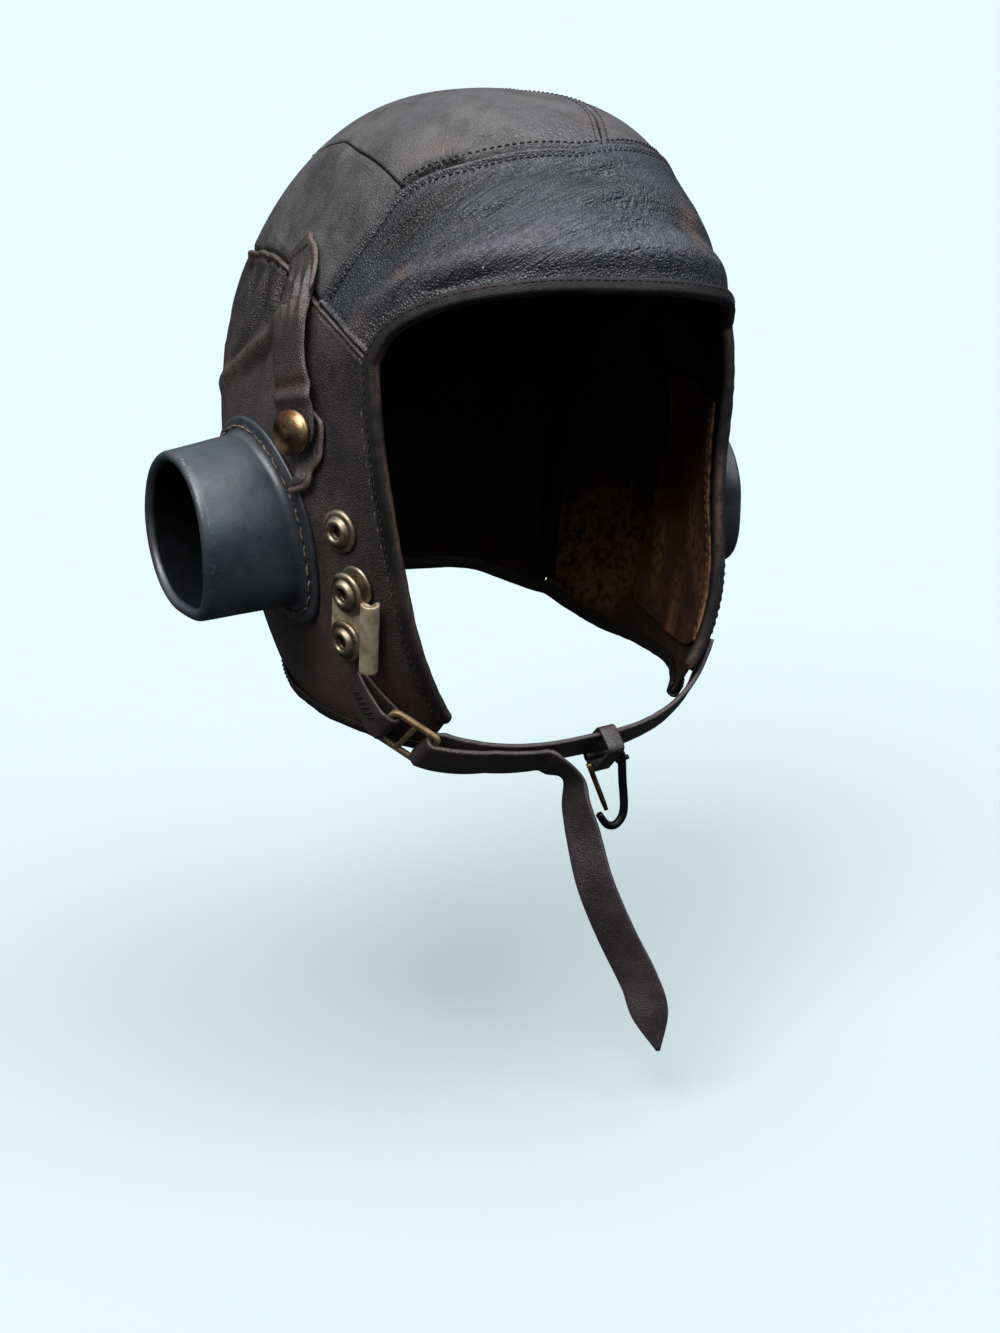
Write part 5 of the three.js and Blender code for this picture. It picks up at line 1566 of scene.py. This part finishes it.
def make_mask_hook():
    h = HOOK_PLATE
    place = tilted(place_on(h.lon, h.lat, h.height), h.tilt)
    middle = h.roll - h.thickness / 2
    flat = np.stack([np.linspace(-h.back, h.flat, 22), np.full(22, h.thickness / 2)], -1)
    turns = np.radians(np.linspace(-90, -90 + h.roll_turn, 26))[1:]
    roll = np.stack([h.flat + middle * np.cos(turns), h.roll + middle * np.sin(turns)], -1)
    path = np.concatenate([flat, roll])
    along = unit(np.gradient(path, axis=0))
    across = np.stack([-along[:, 1], along[:, 0]], -1)
    run = running(path)
    back = h.back + h.flat
    corner = np.clip((1.6 - run) / 1.6, 0, 1) ** 2 * 1.6
    top = h.top - corner - 3.0 * (1 - smooth((run - back + 3) / 4)) + 0 * run
    foot = h.foot + corner + 3.2 * (1 - smooth((run - 3) / (back - 3))) + 0 * run
    rows = np.linspace(0, 1, 26)
    y = mix(foot[None, :], top[None, :], rows[:, None])
    dent = 0.12 * noise(y / 6, run[None, :] / 5, 81)

    def sheet(offset):
        flat_point = path + across * offset
        point = place.point + flat_point[None, :, 0, None] * place.level + y[..., None] * place.upward
        return point + (flat_point[None, :, 1] + dent * (run < back))[..., None] * place.normal

    shape = Shape()
    half = h.thickness / 2
    hollow = np.clip(0.8 * (run[None, :] - back - 14) / 6, 0, 1) + 0 * y
    add_wall(shape, sheet(-half * 0.96), sheet(half * 0.96), hollow=hollow)
    made = shape.build("mask_hook_plate_metal", FINISHES["plate"])
    bevel = made.modifiers.new("edge", "BEVEL")
    bevel.width = 0.25 * MM
    bevel.segments = 2
    bevel.limit_method = "ANGLE"
    bevel.angle_limit = math.radians(50)
    keep(made, "nickel", "mask_hook_plate")
    for number, upward in ((2, h.stud_apart / 2), (3, -h.stud_apart / 2)):
        press_stud(f"press_stud_right_{number}", shifted(place, 0, upward, h.thickness + GAP))
    shape = Shape()
    add_turned(shape, STUD_BACK, shifted(place, 1.7, h.stud_apart / 2 + 2.4, -1.1))
    put(shape, "press_stud_backing_metal", "nickel", "nickel")


# Chin strap, buckle and hook
CHIN_LINE = Line(
    (-64, -38.5), (-53, -44.5), (-43, -49.2), (-28, -53), (0, -55.6),
    (28, -53.2), (43, -48.9), (48, -44.8), (51.5, -41),
)
CHIN = SimpleNamespace(width=14, thickness=2, lift=3.0, end_at=4, drop_at=7.6, bend=4)
TAB = SimpleNamespace(width=13.6, thickness=1.4, start_at=6)
BUCKLE = SimpleNamespace(at=31, length=20, inner=15, bar=2.2, thickness=2, lift=5.8, clear=0.6)
# Free end: x, y, z, the way its face looks, and half its width
TAIL = [
    (-3.4, -70, -228, -90, 7), (-4.1, -73, -236, -78, 7), (-3.6, -77, -246, -62, 7), (-2.0, -83, -263, -50, 7),
    (3.9, -88, -282, -42, 7), (11.3, -93, -301, -38, 7), (14.0, -96, -313, -36, 6.6), (16.5, -98, -327, -36, 0.8),
]
LAYER_GAP = 1.5


def frames_list(centre, side, face, half):
    half = np.broadcast_to(half, (len(centre),)).astype(float)
    return SimpleNamespace(centre=centre, side=side, face=face, half=half)


def chain(*runs):
    keys = ("centre", "side", "face", "half")
    return SimpleNamespace(**{key: np.concatenate([getattr(r, key) for r in runs]) for key in keys})


def turned_over(f):
    return frames_list(f.centre, f.side, -f.face, f.half)


def stretch_frames(run, start, end, lift, half, steps):
    share = np.linspace(0, 1, steps + 1)
    frames = frames_on(CHIN_LINE.at, mix(start, end, share) / run, lift(share))
    return frames_list(frames.centre, frames.side, frames.face, half)


def fold_frames(at, shift, fold_radius, half):
    """Frames of a fold round a bar of the buckle."""
    away = -np.sign(shift)
    turns = np.radians(np.linspace(-75, 75, 11))[:, None]
    face = at.face * np.sin(turns) + at.along * (away * np.cos(turns))
    centre = at.centre + at.along * shift + face * fold_radius
    return frames_list(centre, np.repeat(at.side, len(turns), 0), face, half)


def tail_frames(start):
    """The bend where the free end turns down, and the free end itself."""
    angle = np.radians([30, 60])[:, None]
    centre = start.centre + start.along * CHIN.bend * np.sin(angle) + start.face * CHIN.bend * (1 - np.cos(angle))
    face = start.face * np.cos(angle) - start.along * np.sin(angle)
    bend = frames_list(centre, np.repeat(start.side, 2, 0), face, CHIN.width / 2)
    rows = np.array(TAIL, float)
    centres = rows[:, :3]
    last = len(rows) - 1
    k = np.arange(last + 1)
    along = unit(centres[np.minimum(last, k + 1)] - centres[np.maximum(0, k - 1)])
    side = unit(np.cross(direction(rows[:, 3], 0 * rows[:, 3]), along))
    hanging = frames_list(centres, side, np.cross(along, side), rows[:, 4])
    return chain(bend, hanging)


def resampled(f, step):
    """The frames of a strap, closer together on smooth lines."""
    run = running(f.centre)
    table = np.column_stack([run, f.centre, f.side, f.face, f.half])
    read = read_table(table, np.linspace(0, run[-1], int(run[-1] / step)))
    made = frames_list(read[:, :3], unit(read[:, 3:6]), unit(read[:, 6:9]), read[:, 9])
    made.run = np.linspace(0, run[-1], len(made.centre))
    return made


def strap_section(thickness):
    """A flat strap's outline as shares of its half width, with slightly rounded edges."""
    across = np.sin(np.linspace(-1, 1, 13) * np.pi / 2)
    top = np.stack([across, thickness / 2 * (1 - 0.35 * np.abs(across) ** 12)], -1)
    return np.concatenate([top[::-1], top * [1, -1]])


def chin_relief(run, x):
    return 0.12 * noise(run / 9, x / 6, 91) + 0.06 * noise(run / 3, x / 2, 92)


def add_strap(shape, f, thickness):
    section = strap_section(thickness)
    x = section[None, :, 0] * f.half[:, None]
    y = section[None, :, 1] + chin_relief(f.run[:, None], x)
    rings = f.centre[:, None, :] + f.side[:, None, :] * x[..., None] + f.face[:, None, :] * y[..., None]
    tip = 0.3 + 0.7 * smooth((f.run - f.run[-1] + 22) / 12)[:, None]
    add_tube(shape, rings, wear=0.8 * np.clip(np.abs(section[:, 0]) ** 30, 0, 1)[None, :] * tip)


def fold_reach(thickness):
    """How far a strap's middle stands from the bar that it is folded round."""
    return math.hypot(BUCKLE.bar, BUCKLE.thickness) / 2 + BUCKLE.clear + thickness / 2


def make_strap(run, at, bars):
    """The strap comes under the buckle's bar, folds back over itself and ends in its free end."""
    half, reach = CHIN.width / 2, fold_reach(CHIN.thickness)
    fold_at = BUCKLE.at + bars + LAYER_GAP
    drop_at = run / 2 - CHIN.drop_at
    top_lift = CHIN.lift + CHIN.thickness + 2 * GAP

    def under_lift(t):
        return mix(CHIN.lift, BUCKLE.lift - reach, t**3)

    def over_lift(t):
        return mix(BUCKLE.lift + reach, top_lift, np.minimum(1, t * 2))

    under = stretch_frames(run, run - CHIN.end_at, fold_at, under_lift, half, 40)
    turn = fold_frames(at, bars, reach, half)
    over = stretch_frames(run, fold_at, drop_at, over_lift, half, 16)
    end = frames_on(CHIN_LINE.at, np.array([drop_at / run]), np.array([top_lift]))
    shape = Shape()
    add_strap(shape, resampled(chain(turned_over(under), turn, over, tail_frames(end)), 1.5), CHIN.thickness)
    put(shape, "chin_strap_leather", "strap", "strap_leather", "chin_strap")


def make_tab(run, at, bars):
    """The tab on the cheek is folded round the buckle's other bar."""
    half, reach = TAB.width / 2, fold_reach(TAB.thickness)
    low = TAB.thickness / 2 + 2 * GAP
    high = low + TAB.thickness + 2 * GAP
    fold_at = BUCKLE.at - bars - LAYER_GAP

    def under_lift(t):
        return mix(low, BUCKLE.lift - reach, t)

    def over_lift(t):
        return mix(BUCKLE.lift + reach, high, t)

    under = stretch_frames(run, TAB.start_at, fold_at, under_lift, half, 10)
    turn = fold_frames(at, -bars, reach, half)
    over = stretch_frames(run, fold_at, TAB.start_at, over_lift, half, 10)
    tab = resampled(chain(turned_over(under), turn, over), 1.0)
    shape = Shape()
    add_strap(shape, tab, TAB.thickness)
    put(shape, "chin_tab_leather", "strap", "strap_leather", "chin_tab")
    tab_stitches(tab)


def make_chin():
    run = line_length(CHIN_LINE.at)
    bars = BUCKLE.length / 2 - BUCKLE.bar / 2
    at = frames_on(CHIN_LINE.at, np.array([BUCKLE.at / run]), np.array([BUCKLE.lift]))
    make_strap(run, at, bars)
    make_tab(run, at, bars)
    make_buckle(at)
    make_hook()


def tab_stitches(tab):
    """A few slanted stitches that hold the tab's end."""
    shape = Shape()
    share = np.linspace(-1, 1, 7)[:, None]
    for k in range(6):
        i = len(tab.centre) - 5 - 2 * k
        along = unit(tab.centre[i - 1] - tab.centre[i + 1])
        points = tab.centre[i] + tab.side[i] * share * 3.2 + along * share * 1.7
        points = points + tab.face[i] * (TAB.thickness / 2 + 0.15)
        stitches(shape, points, np.repeat(tab.face[i][None], len(points), 0), pitch=6.5, share=0.95, thick=0.7)
    put(shape, "chin_tab_stitches", "dark_thread", "strap_leather")


def make_buckle(at):
    b = BUCKLE
    x, y = b.length / 2 - b.bar / 2, b.inner / 2 + b.bar / 2
    path = box_outline((-x, -y), (x, y), 2.4, 6)
    section = box_outline((-b.bar / 2, -b.thickness / 2), (b.bar / 2, b.thickness / 2), 0.7, 4)
    centre, along, side, face = at.centre[0], at.along[0], at.side[0], at.face[0]
    shape = Shape()
    add_ring(shape, path, section, centre, along, side, face)
    span = np.linspace(-b.inner / 2 - 0.6, b.inner / 2 + 0.6, 9)
    middle = centre + span[:, None] * side
    small = section * [0.92, 0.8]
    add_tube(shape, middle[:, None, :] + small[None, :, 0, None] * along + small[None, :, 1, None] * face)
    put(shape, "buckle_frame_brass", "buckle", "brass", "buckle_frame")


HOOK = SimpleNamespace(lon=6.6, lat=-55.6, lift=7.6, wire=1.6)
LOOP = SimpleNamespace(inside=15.2, width=6.6, shift=0.9, wall=1.2, clear=0.7, round_by=2)
HOOK_PATH = [
    (-7, 0), (5.4, 0), (7.4, -1.4), (7.9, -3.6), (8.4, -12),
    (9.2, -21), (8.5, -25.6), (5.6, -28.4), (2.2, -27.6), (-1.2, -23),
]
GATE = SimpleNamespace(wire=1, lean=22, start=3, end=23.4)


def wire(shape, centre, path, radius_of_wire, thin_end=1.0):
    path = np.asarray(path, float)
    run = running(path)
    read = read_table(np.column_stack([run, path]), np.linspace(0, run[-1], max(3, int(run[-1] / 0.8))))
    along = unit(np.gradient(read, axis=0))
    line = np.stack([read[:, 0], 0 * read[:, 0], read[:, 1]], -1) + centre
    ahead = np.stack([along[:, 0], 0 * along[:, 0], along[:, 1]], -1)
    face = np.tile([0.0, 1.0, 0.0], (len(line), 1))
    side = np.cross(face, ahead)
    turns = np.radians(np.arange(16) * 22.5)
    share = np.linspace(0, 1, len(line))
    size = radius_of_wire * mix(1, thin_end, smooth((share - 0.8) / 0.2))
    ring = np.cos(turns)[None, :, None] * side[:, None, :] + np.sin(turns)[None, :, None] * face[:, None, :]
    add_tube(shape, line[:, None, :] + ring * size[:, None, None])


def make_hook():
    place = place_on(HOOK.lon, HOOK.lat, HOOK.lift)
    shape = Shape()
    wire(shape, place.point, HOOK_PATH, HOOK.wire * 0.96, 0.85)
    pin = place.point + np.array([HOOK_PATH[3][0], 0, HOOK_PATH[3][1]])
    wire(shape, pin, [(-2.3, -0.4), (2.6, 0.4)], 0.9)
    put(shape, "spring_hook_iron", "iron", "dark_iron", "spring_hook")
    lean = math.radians(GATE.lean)
    ends = [(r * math.sin(lean), -r * math.cos(lean)) for r in np.linspace(GATE.start, GATE.end, 6)]
    gate = Shape()
    wire(gate, place.point + np.array([HOOK_PATH[0][0], 0, 0]), ends, GATE.wire * 0.96, 0.8)
    put(gate, "hook_gate_brass", "brass", "brass", "hook_gate", body="gate")
    make_loop()


def make_loop():
    low = CHIN.lift - CHIN.thickness / 2 - 2 * GAP - LOOP.wall / 2
    high = HOOK.lift + HOOK.wire + LOOP.clear + LOOP.wall / 2
    reach = LOOP.inside / 2 + LOOP.wall / 2
    path = box_outline((-reach, low), (reach, high), LOOP.round_by, 6)
    place = place_on(HOOK.lon, HOOK.lat, 0)
    along = unit(np.array([1.0, 0, 0]) - place.normal * place.normal[0])
    thin, wide = LOOP.wall / 2, LOOP.width / 2
    section = box_outline((-thin, -wide), (thin, wide), 0.4, 3) + [0, LOOP.shift]
    shape = Shape()
    add_ring(shape, path, section, place.point, np.cross(place.normal, along), place.normal, along)
    put(shape, "hook_loop_leather", "strap", "strap_leather", "hook_loop")


# Room, light and camera
FLOOR_Z = -0.352
CAMERA = SimpleNamespace(
    location=(-0.3779, -0.6818, 0.0620),
    right=(0.87112, -0.49107, 0.0),
    up=(0.16066, 0.28500, 0.94497),
    forward=(0.46405, 0.82318, -0.32716),
    lens=59.41,
)


FLOOR_SIZE, ROOM_LIGHT = 60.0, 1.0


def make_floor():
    """A pale floor that gives the object no light."""
    mesh = bpy.data.meshes.new("floor")
    corners = [(x * FLOOR_SIZE, y * FLOOR_SIZE, FLOOR_Z) for x, y in ((-1, -1), (1, -1), (1, 1), (-1, 1))]
    mesh.from_pydata(corners, [], [(0, 1, 2, 3)])
    floor = linked("floor", mesh)
    finish = Finish("pale_floor", Roughness=1.0, Specular_IOR_Level=0.0, Base_Color=paint("#a9b6b6"))
    mesh.materials.append(finish.done())
    floor.visible_diffuse = floor.visible_glossy = False


def make_room():
    """A room that is bright above and dim below."""
    world = bpy.data.worlds.new("room")
    world.use_nodes = True
    nodes, links = world.node_tree.nodes, world.node_tree.links
    place, parts = nodes.new("ShaderNodeTexCoord"), nodes.new("ShaderNodeSeparateXYZ")
    ramp = nodes.new("ShaderNodeValToRGB")
    links.new(place.outputs["Generated"], parts.inputs["Vector"])
    links.new(parts.outputs["Z"], ramp.inputs["Fac"])
    links.new(ramp.outputs["Color"], nodes["Background"].inputs["Color"])
    for position, colour in ((0.0, "#34373a"), (0.12, "#5a5f64"), (0.55, "#b6bec6"), (1.0, "#f8fbff")):
        stop = ramp.color_ramp.elements.new(position)
        stop.color = paint(colour)
    ramp.color_ramp.elements.remove(ramp.color_ramp.elements[0])
    ramp.color_ramp.elements.remove(ramp.color_ramp.elements[len(ramp.color_ramp.elements) - 1])
    nodes["Background"].inputs["Strength"].default_value = ROOM_LIGHT
    bpy.context.scene.world = world


def soft_sun(name, heading, height, spread, strength, colour):
    """A wide, distant light. heading is where it stands: 0 in front, 90 on the wearer's left."""
    data = bpy.data.lights.new(name, "SUN")
    data.angle = math.radians(spread)
    data.energy = strength
    data.color = paint(colour)[:3]
    light = linked(name, data)
    toward = Vector(direction(float(heading), float(height)).tolist())
    light.rotation_mode = "QUATERNION"
    light.rotation_quaternion = toward.to_track_quat("Z", "Y")


def make_lights():
    soft_sun("key", -62, 50, 38, 2.3, "#fffcfa")
    soft_sun("top", 5, 80, 55, 2.2, "#f2f7ff")
    soft_sun("fill", 50, 42, 60, 1.3, "#f2f7ff")


def make_camera():
    data = bpy.data.cameras.new("camera")
    data.lens = CAMERA.lens
    data.clip_start, data.clip_end = 0.01, 50
    camera = linked("camera", data)
    right, up, forward = Vector(CAMERA.right), Vector(CAMERA.up), Vector(CAMERA.forward)
    turn = Matrix((right, up, -forward)).transposed().to_4x4()
    camera.matrix_world = Matrix.Translation(CAMERA.location) @ turn
    bpy.context.scene.camera = camera


make_camera()
make_shell()
make_bindings()
make_linings()
make_cups()
make_ear_fittings()
make_mask_hook()
make_chin()
make_floor()
make_room()
make_lights()
bpy.context.scene.view_settings.view_transform = "Standard"
